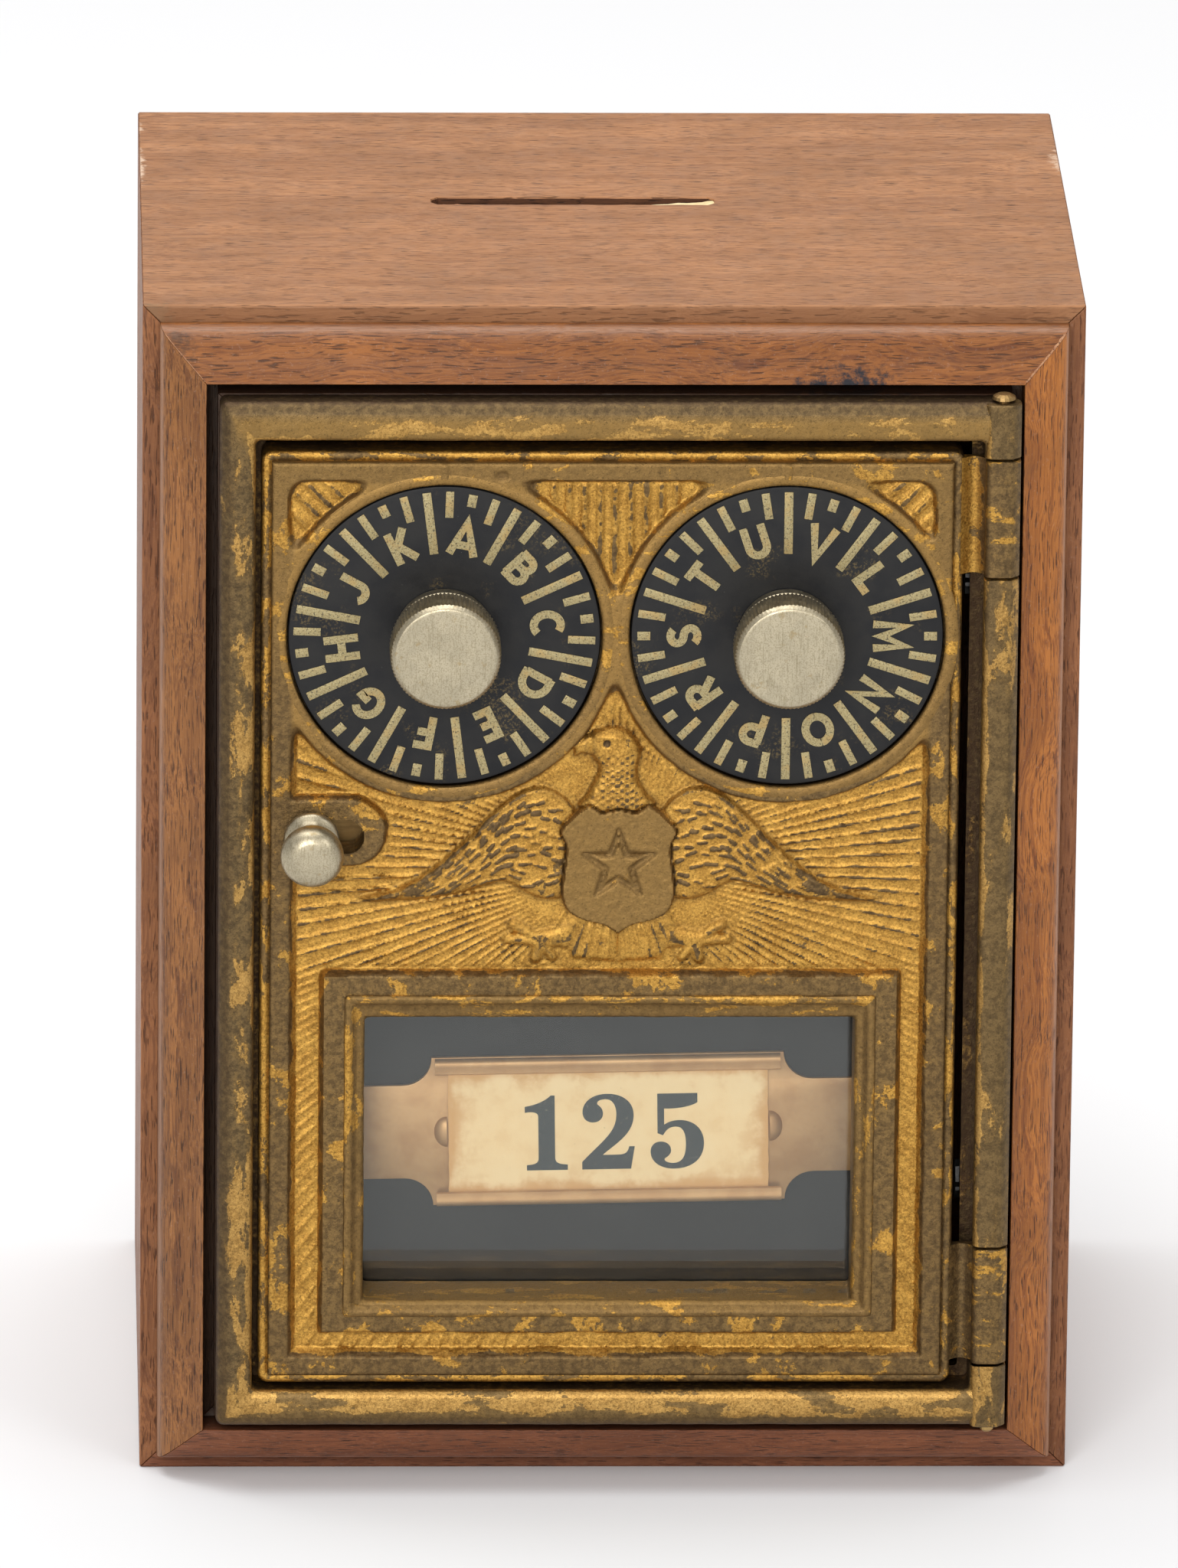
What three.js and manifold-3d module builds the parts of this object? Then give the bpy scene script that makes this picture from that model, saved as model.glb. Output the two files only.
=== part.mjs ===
// Tabletop coin bank: a small brass lock-box door with two letter dials, set in a mitred wooden case
// that has a coin slot in its top. Millimetres, +X right, +Y to the back, +Z up.
// The origin is the centre of the case's underside, and the door faces -Y.
// Depths written as "d" are measured back from the plane of the case's front edges, so a negative
// depth stands proud of the case.

import * as THREE from 'three';
import { mergeVertices } from 'three/addons/utils/BufferGeometryUtils.js';
import Module from 'manifold-3d';

const wasm = await Module();
wasm.setup();

// ---------------------------------------------------------------- driving dimensions

const CASE = { width: 110, depth: 82, height: 144, board: 8, edgeRadius: 0.5 };
const SEAM = 0.03; // half the glue line between two boards
const REBATE = { width: 5, depth: 6 }; // for the back panel
const BACK_SCREW = { x: 49.5, z: [22, 122], hole: 1.1, depth: 9 };
const PANEL_GAP = 0.1; // around the back panel
const COIN_SLOT = { x: -3.7, y: 2.7, length: 33.6, width: 3.2 };

const MOULDING = {
  inset: 2, width: 5.4, proud: 7.6, ledge: 3, ledgeProud: 6.4, groove: 1.35, grooveProud: 2.5,
};
// Its face, as [inwards, proud] points from the outer wall to the inner edge.
const MOULDING_FACE = [
  [0.05, 1.4], [0.25, 2.5], [0.65, 3.4], [1.1, 4.05], [2, 4.95], [3, 5.7], [4, 6.4], [5, 7.2], [5.4, 7.6],
];
const GLUE = 0.05; // gap under a piece that is glued or screwed flat on another

const FRAME_X = 0.4; // the brass frame sits this far right of the case's centre
const FRAME = { halfWidth: 46.5, bottom: 8.8, top: 135.1, front: -10.5, back: -6.45, edge: 0.5 };
const THROAT = { left: -41.85, right: 42.9, bottom: 13.3, top: 130.5, depth: 8 };
const THROAT_WALL = 1.25;
const STOP = { front: -4.7, back: -3.2, left: -40, bottom: 15.4, top: 127.5 };
const FRAME_SCREW_Z = [35, 110];
const FRAME_SCREW_D = 4;
const FRAME_SCREW_HOLE = { wood: 1.3, brass: 1.4, reach: 52.5 };

const HINGE = { x: 45.1, d: -8.7, half: 2.05, front: 2, corner: 0.9, chamfer: 1, pin: 0.8, bore: 1.1 };
const KNUCKLE_GAP = 0.15; // at each end of a knuckle
const KNUCKLES = { lowerBottom: 16.6, lowerTop: 31.2, upperBottom: 113.9, upperTop: 128.35 };

const DOOR = { left: -41.2, right: 40.6, bottom: 13.9, top: 129, corner: 1.2, back: -5 };
const LEVEL = { field: -8.4, rim: -9, step: -9.2, border: -9.8, bead: -10.2 };
const RIM_WIDTH = 1.2;
const BORDER_WIDTH = 2.3;
const STEP_WIDTH = 1;

const PANEL = { top: 125.6, dialRadius: 20.25 }; // the sunk panels, round the dials' centres
const INTO = 0.4; // how far raised work runs into the plate that carries it

const DIAL_Z = 106.6;
const DIAL_X = { left: -19.8, right: 20.2 };
const DIAL = { radius: 18.26, front: -9.3, back: -6.9, recess: 18.65, recessFloor: -6.6, collar: 20.25 };
const KNOB = { radius: 6.5, front: -18, back: -9.6, teeth: 30, toothDepth: 0.3 };
const SPINDLE = { radius: 2, bore: 2.35, front: -15.5, back: -0.7 };
const TUMBLER = { radius: 9, front: -4.6, back: -2.6, gateWidth: 2.6, gateDepth: 3.2 };
const NUT = { radius: 3.4, front: -2.3, back: -0.9 };

const LATCH = { x: -35.2, z: 82, travel: 4.2, stud: 1.6, studHole: 1.9 };
const LATCH_SLOT = { left: -37.2, right: -29, height: 4.2 };
const LATCH_PAD = { left: -38.4, right: -26.6, bottom: 78.7, top: 86.6 };
const SLIDE = { front: -4.6, back: -2.8, nose: -39.4, end: 8, halfHeight: 3.4, armTop: 108.2 };
const SPRING = { radius: 1.8, wire: 0.5, d: -2.6, post: 24.4, postSize: 2.6, postBack: -0.6, turns: 6 };
const GUIDE_SCREW_X = [-20, -2];
const ARMS = { left: [-37, -34.4], right: [-2, 2.6], fenceHalf: 1.2, clearAtTravel: 0.4 };

const WINDOW = { left: -28.8, right: 28.8, bottom: 24.3, top: 59.5 };
const WINDOW_BEAD = { left: -31.2, right: 31.2, bottom: 22.5, top: 62.5 };
const WINDOW_BORDER = { left: -33.7, right: 33.7, bottom: 20.5, top: 64.9 };
const GLAZING_BOX = { left: -35, right: 35, bottom: 18.6, top: 65.4, back: 3.3 };
const RABBET = { left: -32.8, right: 32.8, bottom: 21, top: 63, floor: -2.3 };
const RABBET_PLAY = 0.4;
const GLAZING_SCREWS = { x: 35.6, z: [28, 56], ear: 2.6 };

const PANE = { front: -2, back: 0 };
const HOLDER = {
  x: 0.3, z: 42.1, tilt: 1.1, halfWidth: 20.8, halfHeight: 9.2, strap: 5.8, flare: 3.4,
  front: 1.4, back: 2, lipFront: 0.3, lipBack: 0.75, lipReach: 0.8,
};
const CARD = { halfWidth: 18.9, halfHeight: 8.1, front: 0.95, back: 1.25 };
const BACKING = { front: 2.3, back: 2.9 };
const RETAINER = { gap: 0.3, sheet: 0.8, overhang: 0.2 };

const COVER = { left: -38.3, right: 37.5, bottom: 72, top: 122, back: 1.3, sheet: 0.8, flange: 4.5 };
const COVER_SCREW_X = 32;

const SCREW_FACETS = 10; // also for the holes that take them

const FRONT_Y = -CASE.depth / 2;
const depthY = (d) => FRONT_Y + d;

// ---------------------------------------------------------------- materials

const material = (color, roughness, metalness) =>
  new THREE.MeshStandardMaterial({ color, roughness, metalness });

const WALNUT = material(0x7a4428, 0.5, 0);
const DARK_WALNUT = material(0x4f2415, 0.55, 0);
const BRASS = material(0x9c7b3c, 0.4, 1);
const LACQUERED_BRASS = material(0xb98d37, 0.38, 1);
const NICKEL = material(0xb4b1a6, 0.32, 1);
const BLACK_ENAMEL = material(0x1d2024, 0.45, 0);
const STEEL = material(0x8c8d8f, 0.35, 1);
const BLACK_CARD = material(0x0d0d0e, 0.8, 0);
const PAPER = material(0xf0dfb6, 0.85, 0);
const GLASS = new THREE.MeshStandardMaterial({
  color: 0xdfe6e4,
  roughness: 0.05,
  metalness: 0,
  transparent: true,
  opacity: 0.3,
});

// ---------------------------------------------------------------- solids

// A closed three.js geometry as a solid that can be joined and cut.
function solid(geometry) {
  const bare = geometry.index ? geometry.toNonIndexed() : geometry;
  bare.deleteAttribute('normal');
  bare.deleteAttribute('uv');
  const merged = mergeVertices(bare, 1e-4);
  const index = merged.index.array;
  const faces = [];
  for (let i = 0; i < index.length; i += 3) {
    const [a, b, c] = [index[i], index[i + 1], index[i + 2]];
    if (a !== b && b !== c && a !== c) {
      faces.push(a, b, c);
    }
  }
  const vertProperties = new Float32Array(merged.attributes.position.array);
  const triVerts = new Uint32Array(faces);
  return new wasm.Manifold(new wasm.Mesh({ numProp: 3, vertProperties, triVerts }));
}

function join(...solids) {
  return solids.reduce((whole, next) => whole.add(next));
}

function cut(body, ...tools) {
  return tools.reduce((rest, tool) => rest.subtract(tool), body);
}

// A block between two corners, with y as row coordinates.
function block(x0, x1, y0, y1, z0, z1) {
  const box = new THREE.BoxGeometry(x1 - x0, y1 - y0, z1 - z0);
  return solid(box.translate((x0 + x1) / 2, (y0 + y1) / 2, (z0 + z1) / 2));
}

// A block given by its depths instead of its row y.
const slab = (x0, x1, d0, d1, z0, z1) => block(x0, x1, depthY(d0), depthY(d1), z0, z1);

// An outline drawn in X and Z, as a plate from one depth to another.
function plate(outline, d0, d1, edge = 0) {
  const sheet = new THREE.ExtrudeGeometry(outline, {
    depth: d1 - d0 - 2 * edge,
    bevelEnabled: edge > 0,
    bevelThickness: edge,
    bevelSize: edge,
    bevelOffset: -edge,
    bevelSegments: 1,
    curveSegments: 4,
  });
  return solid(sheet.rotateX(Math.PI / 2).translate(0, depthY(d1 - edge), 0));
}

// An outline drawn in X and Y, as a bar from one height to another.
function bar(outline, z0, z1) {
  const extruded = new THREE.ExtrudeGeometry(outline, {
    depth: z1 - z0,
    bevelEnabled: false,
    curveSegments: 5,
  });
  return solid(extruded.translate(0, 0, z0));
}

// A profile of [radius, along] points, listed from -Y to +Y, turned round the Y axis.
function turned(profile, segments = 32) {
  const points = profile.map(([radius, along]) => new THREE.Vector2(radius, along));
  return solid(new THREE.LatheGeometry(points, segments));
}

// A round rod or cutter along Y, between two distances along the axis.
const rod = (radius, y0, y1, segments = 20) =>
  turned([[0, y0], [radius, y0], [radius, y1], [0, y1]], segments);

const rodAt = (x, z, radius, d0, d1, segments) =>
  rod(radius, depthY(d0), depthY(d1), segments).translate([x, 0, z]);

// The same along Z, at a place in X and Y.
const uprightRod = (x, y, radius, z0, z1, segments = 12) =>
  rod(radius, z0, z1, segments).rotate([90, 0, 0]).translate([x, y, 0]);

// The same along X, at a place in Y and Z.
const crossRod = (y, z, radius, x0, x1, segments = 16) =>
  rod(radius, x0, x1, segments).rotate([0, 0, -90]).translate([0, y, z]);

function rectangle(x0, x1, z0, z1, radius = 0) {
  const shape = new THREE.Shape();
  if (radius === 0) {
    shape.moveTo(x0, z0).lineTo(x1, z0).lineTo(x1, z1).lineTo(x0, z1).closePath();
    return shape;
  }
  const quarter = Math.PI / 2;
  shape.moveTo(x0 + radius, z0);
  shape.absarc(x1 - radius, z0 + radius, radius, -quarter, 0);
  shape.absarc(x1 - radius, z1 - radius, radius, 0, quarter);
  shape.absarc(x0 + radius, z1 - radius, radius, quarter, 2 * quarter);
  shape.absarc(x0 + radius, z0 + radius, radius, 2 * quarter, 3 * quarter);
  return shape;
}

// A raised or sunk rectangular ring round an opening that is `width` smaller on each side.
function ring(side, width, d0, d1) {
  const outer = rectangle(side.left, side.right, side.bottom, side.top);
  const hole = rectangle(side.left + width, side.right - width, side.bottom + width, side.top - width);
  outer.holes.push(hole);
  return plate(outer, d0, d1);
}

const shrink = (side, by) => ({
  left: side.left + by,
  right: side.right - by,
  bottom: side.bottom + by,
  top: side.top - by,
});

const slabOf = (side, d0, d1) => slab(side.left, side.right, d0, d1, side.bottom, side.top);

// ---------------------------------------------------------------- the group

const coinBank = new THREE.Group();

function addPart(name, body, finish, parent = coinBank) {
  const { vertProperties, triVerts } = body.getMesh();
  const geometry = new THREE.BufferGeometry();
  geometry.setAttribute('position', new THREE.BufferAttribute(new Float32Array(vertProperties), 3));
  geometry.setIndex(new THREE.BufferAttribute(new Uint32Array(triVerts), 1));
  geometry.computeVertexNormals();
  const mesh = new THREE.Mesh(geometry, finish);
  mesh.name = name;
  parent.add(mesh);
  return mesh;
}

// ---------------------------------------------------------------- wooden case

const SIDES = ['top', 'bottom', 'left', 'right'];

// The quarter of a rectangular ring that one mitred strip fills: a trapezium with 45 degree ends.
function mitre(side, outer, width, d0, d1) {
  const inner = shrink(outer, width);
  const corners = {
    top: [[outer.left, outer.top], [outer.right, outer.top], [inner.right, inner.top], [inner.left, inner.top]],
    bottom: [
      [outer.left, outer.bottom],
      [outer.right, outer.bottom],
      [inner.right, inner.bottom],
      [inner.left, inner.bottom],
    ],
    left: [
      [outer.left, outer.bottom],
      [outer.left, outer.top],
      [inner.left, inner.top],
      [inner.left, inner.bottom],
    ],
    right: [
      [outer.right, outer.bottom],
      [outer.right, outer.top],
      [inner.right, inner.top],
      [inner.right, inner.bottom],
    ],
  }[side];
  const level = side === 'top' || side === 'bottom';
  const middle = level ? (outer.left + outer.right) / 2 : (outer.bottom + outer.top) / 2;
  const pulled = corners.map(([x, z]) =>
    level ? [x + Math.sign(middle - x) * SEAM, z] : [x, z + Math.sign(middle - z) * SEAM],
  );
  const shape = new THREE.Shape(pulled.map(([x, z]) => new THREE.Vector2(x, z)));
  return plate(shape, d0, d1);
}

// A block whose front edges are rounded by the same profile on all four sides. `edge` lists the
// profile's [inwards, depth] points, from the outer face to the front.
function profiledBlock(outer, back, edge) {
  const section = (low, high) => {
    const points = [
      [low, back],
      ...edge.map(([inwards, d]) => [low + inwards, d]),
      ...edge.map(([inwards, d]) => [high - inwards, d]).reverse(),
      [high, back],
    ];
    return points.map(([across, d]) => [across, depthY(d)]);
  };
  const fromAbove = new THREE.Shape(section(outer.left, outer.right).map(([x, y]) => new THREE.Vector2(x, y)));
  const overHeight = bar(fromAbove, outer.bottom, outer.top);
  const fromSide = new THREE.Shape(section(outer.bottom, outer.top).map(([z, y]) => new THREE.Vector2(y, z)));
  const overWidth = solid(
    new THREE.ExtrudeGeometry(fromSide, { depth: outer.right - outer.left, bevelEnabled: false })
      .rotateX(Math.PI / 2)
      .rotateZ(Math.PI / 2)
      .translate(outer.left, 0, 0),
  );
  return overHeight.intersect(overWidth);
}

const caseOuter = { left: -CASE.width / 2, right: CASE.width / 2, bottom: 0, top: CASE.height };
const caseInner = shrink(caseOuter, CASE.board);
const rebate = shrink(caseOuter, CASE.board - REBATE.width);
const backFront = CASE.depth - REBATE.depth;

const BACK_SCREWS = [];
for (const x of [-BACK_SCREW.x, BACK_SCREW.x]) {
  for (const z of BACK_SCREW.z) {
    BACK_SCREWS.push([x, z]);
  }
}

function makeCase() {
  const steps = 2;
  const roundedEdge = [];
  for (let i = 0; i <= steps; i += 1) {
    const angle = (i / steps) * (Math.PI / 2);
    const radius = CASE.edgeRadius;
    roundedEdge.push([radius * (1 - Math.cos(angle)), radius * (1 - Math.sin(angle))]);
  }
  let shell = cut(
    profiledBlock(caseOuter, CASE.depth, roundedEdge),
    slabOf(caseInner, -1, CASE.depth + 1),
    slabOf(rebate, backFront, CASE.depth + 1),
  );
  const slot = block(
    COIN_SLOT.x - COIN_SLOT.length / 2,
    COIN_SLOT.x + COIN_SLOT.length / 2,
    COIN_SLOT.y - COIN_SLOT.width / 2,
    COIN_SLOT.y + COIN_SLOT.width / 2,
    CASE.height - CASE.board - 1,
    CASE.height + 1,
  );
  shell = shell.subtract(slot);
  for (const [x, z] of BACK_SCREWS) {
    const pilot = rodAt(x, z, BACK_SCREW.hole, backFront - BACK_SCREW.depth, backFront + 1, SCREW_FACETS);
    shell = shell.subtract(pilot);
  }
  for (const z of FRAME_SCREW_Z) {
    const { wood, reach } = FRAME_SCREW_HOLE;
    shell = shell.subtract(crossRod(depthY(FRAME_SCREW_D), z, wood, -reach, caseInner.left + 1, SCREW_FACETS));
    shell = shell.subtract(crossRod(depthY(FRAME_SCREW_D), z, wood, caseInner.right - 1, reach, SCREW_FACETS));
  }
  for (const side of SIDES) {
    const board = mitre(side, caseOuter, CASE.board, -1, CASE.depth + 1);
    addPart(`case_${side}`, shell.intersect(board), WALNUT);
  }
}

// A slotted countersunk screw on +Y, its head's top face at y = 0 and its shank towards -Y.
function countersunkScrew(headRadius, headDepth, shank, length) {
  const body = turned(
    [[0, -length], [shank, -length], [shank, -headDepth], [headRadius, -0.3], [headRadius, 0], [0, 0]],
    SCREW_FACETS,
  );
  return body.subtract(block(-headRadius, headRadius, -0.6, 1, -0.3, 0.3));
}

// A slotted cheese-head screw, the same way round.
function cheeseScrew(headRadius, headHeight, shank, length) {
  const body = turned(
    [[0, -length], [shank, -length], [shank, -headHeight], [headRadius, -headHeight], [headRadius, 0], [0, 0]],
    SCREW_FACETS,
  );
  return body.subtract(block(-headRadius, headRadius, -0.5, 1, -0.3, 0.3));
}

function makeBack() {
  const outline = shrink(rebate, PANEL_GAP);
  let panel = slabOf(outline, backFront + GLUE, CASE.depth);
  for (const [x, z] of BACK_SCREWS) {
    const sink = turned([[0, -3.4], [1.1, -3.4], [2.5, -0.5], [2.5, 1], [0, 1]], SCREW_FACETS);
    panel = cut(
      panel,
      rodAt(x, z, BACK_SCREW.hole, backFront - 1, CASE.depth - 2, SCREW_FACETS),
      sink.translate([x, depthY(CASE.depth), z]),
    );
  }
  addPart('case_back', panel, DARK_WALNUT);
  BACK_SCREWS.forEach(([x, z], i) => {
    const screw = addPart(`back_screw_${i + 1}`, countersunkScrew(2.2, 2.8, 0.8, 13.5), STEEL);
    screw.position.set(x, depthY(CASE.depth) - 0.1, z);
  });
}

function makeMoulding() {
  const outer = shrink(caseOuter, MOULDING.inset);
  const lip = shrink(outer, MOULDING.width);
  const ledge = shrink(lip, MOULDING.ledge);
  const edge = MOULDING_FACE.map(([inwards, proud]) => [inwards, -proud]);
  const groove = slabOf(lip, -MOULDING.proud - 1, -MOULDING.grooveProud)
    .subtract(slabOf(shrink(lip, MOULDING.groove), -MOULDING.proud - 2, 1));
  const ringBody = cut(
    profiledBlock(outer, -GLUE, edge),
    slabOf(lip, -MOULDING.proud - 1, -MOULDING.ledgeProud),
    groove,
    slabOf(ledge, -MOULDING.proud - 1, 1),
  );
  const width = MOULDING.width + MOULDING.ledge;
  for (const side of SIDES) {
    const strip = mitre(side, outer, width, -MOULDING.proud - 1, 1);
    addPart(`moulding_${side}`, ringBody.intersect(strip), DARK_WALNUT);
  }
}

// ---------------------------------------------------------------- brass frame and hinge

const hingeY = depthY(HINGE.d);

// The section of the hinge barrel seen from above: square in front, with a soft inner corner and a
// chamfered outer one, and round behind.
function barrel(z0, z1) {
  const { half, front, corner, chamfer } = HINGE;
  const shape = new THREE.Shape();
  shape.moveTo(-half, 0);
  shape.absarc(-half + corner, -front + corner, corner, Math.PI, 1.5 * Math.PI);
  shape.lineTo(half - chamfer, -front);
  shape.lineTo(half, -front + chamfer);
  shape.absarc(0, 0, half, 0, Math.PI);
  return bar(shape, z0, z1).translate([HINGE.x, hingeY, 0]);
}

function makeFrame() {
  const right = FRAME_X + FRAME.halfWidth;
  const left = FRAME_X - FRAME.halfWidth;
  const flangeShape = rectangle(left, right, FRAME.bottom, FRAME.top, 0.8);
  flangeShape.holes.push(rectangle(THROAT.left, THROAT.right, THROAT.bottom, THROAT.top, 0.9));
  const flange = plate(flangeShape, FRAME.front, FRAME.back, FRAME.edge);
  const hingeGapLow = KNUCKLES.lowerBottom - KNUCKLE_GAP;
  const hingeGapHigh = KNUCKLES.upperTop + KNUCKLE_GAP;
  const hingeBay = slab(THROAT.right - 1, right + 1, FRAME.front - 1, FRAME.back + 1, hingeGapLow, hingeGapHigh);

  const throatOuter = {
    left: THROAT.left - THROAT_WALL,
    right: THROAT.right + THROAT_WALL,
    bottom: THROAT.bottom - THROAT_WALL,
    top: THROAT.top + THROAT_WALL,
  };
  const throat = slabOf(throatOuter, FRAME.back - 0.3, THROAT.depth)
    .subtract(slabOf(THROAT, FRAME.back - 1, THROAT.depth + 1));
  const stop = slab(THROAT.left - 1, THROAT.right, STOP.front, STOP.back, THROAT.bottom - 1, THROAT.top + 1)
    .subtract(slab(STOP.left, THROAT.right + 1, STOP.front - 1, STOP.back + 1, STOP.bottom, STOP.top));

  const longLow = KNUCKLES.lowerTop + KNUCKLE_GAP;
  const longHigh = KNUCKLES.upperBottom - KNUCKLE_GAP;
  const web = slab(THROAT.right + 0.3, right, HINGE.d, FRAME.back, longLow, longHigh);
  const body = join(
    flange.subtract(hingeBay),
    throat,
    stop,
    barrel(FRAME.bottom, hingeGapLow),
    barrel(longLow, longHigh),
    barrel(hingeGapHigh, FRAME.top),
    web,
  );
  const bores = [uprightRod(HINGE.x, hingeY, HINGE.bore, FRAME.bottom - 1, FRAME.top + 1)];
  for (const z of FRAME_SCREW_Z) {
    const y = depthY(FRAME_SCREW_D);
    bores.push(crossRod(y, z, FRAME_SCREW_HOLE.brass, throatOuter.left - 1, THROAT.left + 1, SCREW_FACETS));
    bores.push(crossRod(y, z, FRAME_SCREW_HOLE.brass, THROAT.right - 1, throatOuter.right + 1, SCREW_FACETS));
  }
  addPart('door_frame', cut(body, ...bores), BRASS);
}

function makeFrameScrews() {
  const clearance = 0.3;
  for (const [label, x, turn] of [['left', THROAT.left, Math.PI / 2], ['right', THROAT.right, -Math.PI / 2]]) {
    FRAME_SCREW_Z.forEach((z, i) => {
      const height = 1.1;
      const screw = addPart(`frame_screw_${label}_${i + 1}`, cheeseScrew(2.4, height, 1, 9.5), STEEL);
      const inwards = label === 'left' ? 1 : -1;
      screw.position.set(x + inwards * (clearance + height), depthY(FRAME_SCREW_D), z);
      screw.rotation.z = -turn;
    });
  }
}

function makeHingePin() {
  const head = FRAME.top + 0.3;
  const tail = FRAME.bottom - 1;
  const pin = turned(
    [[0, tail], [0.5, tail], [HINGE.pin, tail + 0.3], [HINGE.pin, head], [1.4, head], [1.3, head + 0.35],
      [0.8, head + 0.6], [0, head + 0.65]],
    16,
  );
  addPart('hinge_pin', pin.rotate([90, 0, 0]).translate([HINGE.x, hingeY, 0]), STEEL);
}

// ---------------------------------------------------------------- door

const door = new THREE.Group();
coinBank.add(door);

// A smooth closed or open outline through points in X and Z.
function smoothShape(points) {
  const curve = new THREE.SplineCurve(points.map(([x, z]) => new THREE.Vector2(x, z)));
  return curve.getPoints(points.length * 2);
}

// A heraldic bird with spread wings behind a shield, in low relief over the window.
function birdRelief() {
  const wing = [
    [5.5, 85.6], [11, 88.2], [18, 86.6], [25, 81.4], [31.4, 74.2], [25.5, 75.2], [21, 72.6], [15.5, 74.2],
    [10.6, 70.6], [5.2, 72],
  ];
  const rightWing = plate(new THREE.Shape(smoothShape(wing)), LEVEL.field - 0.8, LEVEL.field + INTO);
  const leftWing = rightWing.mirror([1, 0, 0]).translate([2, 0, 0]);
  const head = [
    [-4.2, 84], [-3.4, 88.6], [-6, 91.2], [-5, 93.2], [-2.4, 94.6], [1.4, 94.6], [4, 92], [5.4, 89.6], [5.2, 84],
  ];
  const bust = plate(new THREE.Shape(smoothShape(head)), LEVEL.field - 1, LEVEL.field + INTO);
  const tail = plate(rectangle(-6.5, 8.5, 66, 72, 1.5), LEVEL.field - 0.6, LEVEL.field + INTO);
  const shieldShape = new THREE.Shape();
  shieldShape.moveTo(1, 69.2);
  shieldShape.quadraticCurveTo(7.6, 71.4, 7.7, 75);
  shieldShape.lineTo(7.3, 79.6);
  shieldShape.lineTo(8.2, 82.6);
  shieldShape.lineTo(6, 85.2);
  shieldShape.quadraticCurveTo(3.4, 84, 1, 85.4);
  shieldShape.quadraticCurveTo(-1.4, 84, -4, 85.2);
  shieldShape.lineTo(-6.2, 82.6);
  shieldShape.lineTo(-5.3, 79.6);
  shieldShape.lineTo(-5.7, 75);
  shieldShape.quadraticCurveTo(-5.6, 71.4, 1, 69.2);
  const shield = plate(shieldShape, LEVEL.field - 1.3, LEVEL.field + INTO);
  return join(rightWing, leftWing, bust, tail, shield);
}

// The flat upper part of the door, round the dials, with three sunk panels above and between them.
function dialPlate(inner) {
  const through = [LEVEL.border - 1, LEVEL.field + 1];
  const discs = (radius) => join(...Object.values(DIAL_X).map((x) => rodAt(x, DIAL_Z, radius, ...through, 48)));
  const upper = slab(
    inner.left, inner.right, LEVEL.border, LEVEL.field + INTO, DIAL_Z - DIAL.collar, inner.top + INTO,
  );
  const below = slab(inner.left - 1, inner.right + 1, ...through, 0, DIAL_Z).subtract(discs(DIAL.collar));
  const panels = slab(inner.left + 0.3, inner.right - 0.3, ...through, DIAL_Z, PANEL.top)
    .subtract(discs(PANEL.dialRadius));
  return cut(upper, below, panels);
}

// The D-shaped pad round the latch's slot.
function latchPad() {
  const { left, right, bottom, top } = LATCH_PAD;
  const radius = (top - bottom) / 2;
  const shape = new THREE.Shape();
  shape.moveTo(left, bottom);
  shape.absarc(right - radius, bottom + radius, radius, -Math.PI / 2, Math.PI / 2);
  shape.lineTo(left, top);
  return plate(shape, LEVEL.border, LEVEL.field + INTO);
}

function slotCutter(x0, x1, z, radius, d0, d1) {
  const shape = new THREE.Shape();
  shape.moveTo(x0 + radius, z - radius);
  shape.absarc(x1 - radius, z, radius, -Math.PI / 2, Math.PI / 2);
  shape.absarc(x0 + radius, z, radius, Math.PI / 2, 1.5 * Math.PI);
  return plate(shape, d0, d1);
}

const glazingScrews = [];
for (const x of [-GLAZING_SCREWS.x, GLAZING_SCREWS.x]) {
  for (const z of GLAZING_SCREWS.z) {
    glazingScrews.push([x, z]);
  }
}

const coverScrews = [];
for (const x of [-COVER_SCREW_X, COVER_SCREW_X]) {
  for (const z of [COVER.bottom - COVER.flange / 2, COVER.top + COVER.flange / 2]) {
    coverScrews.push([x, z]);
  }
}

function doorBlank() {
  const blankShape = rectangle(DOOR.left, DOOR.right, DOOR.bottom, DOOR.top, DOOR.corner);
  const border = shrink(DOOR, RIM_WIDTH);
  const step = shrink(border, BORDER_WIDTH);
  const field = shrink(step, STEP_WIDTH);
  const raised = [ring(border, BORDER_WIDTH, LEVEL.border, LEVEL.rim + 0.2)];
  raised.push(dialPlate(step));
  raised.push(ring(WINDOW_BORDER, 2.6, LEVEL.border, LEVEL.field + INTO));
  raised.push(ring(WINDOW_BEAD, 2.2, LEVEL.bead, LEVEL.field + INTO));
  raised.push(latchPad());
  raised.push(birdRelief());
  const blank = plate(blankShape, LEVEL.rim, DOOR.back)
    .subtract(slabOf(step, LEVEL.rim - 1, LEVEL.step + 0.4))
    .subtract(slabOf(field, LEVEL.rim - 1, LEVEL.field));
  return join(blank, ...raised);
}

function knuckle(z0, z1) {
  const low = z0 + KNUCKLE_GAP;
  const high = z1 - KNUCKLE_GAP;
  const leaf = slab(DOOR.right - 0.5, HINGE.x - 1, LEVEL.rim + 0.1, HINGE.d + 1.4, low, high);
  return join(barrel(low, high), leaf);
}

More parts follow.
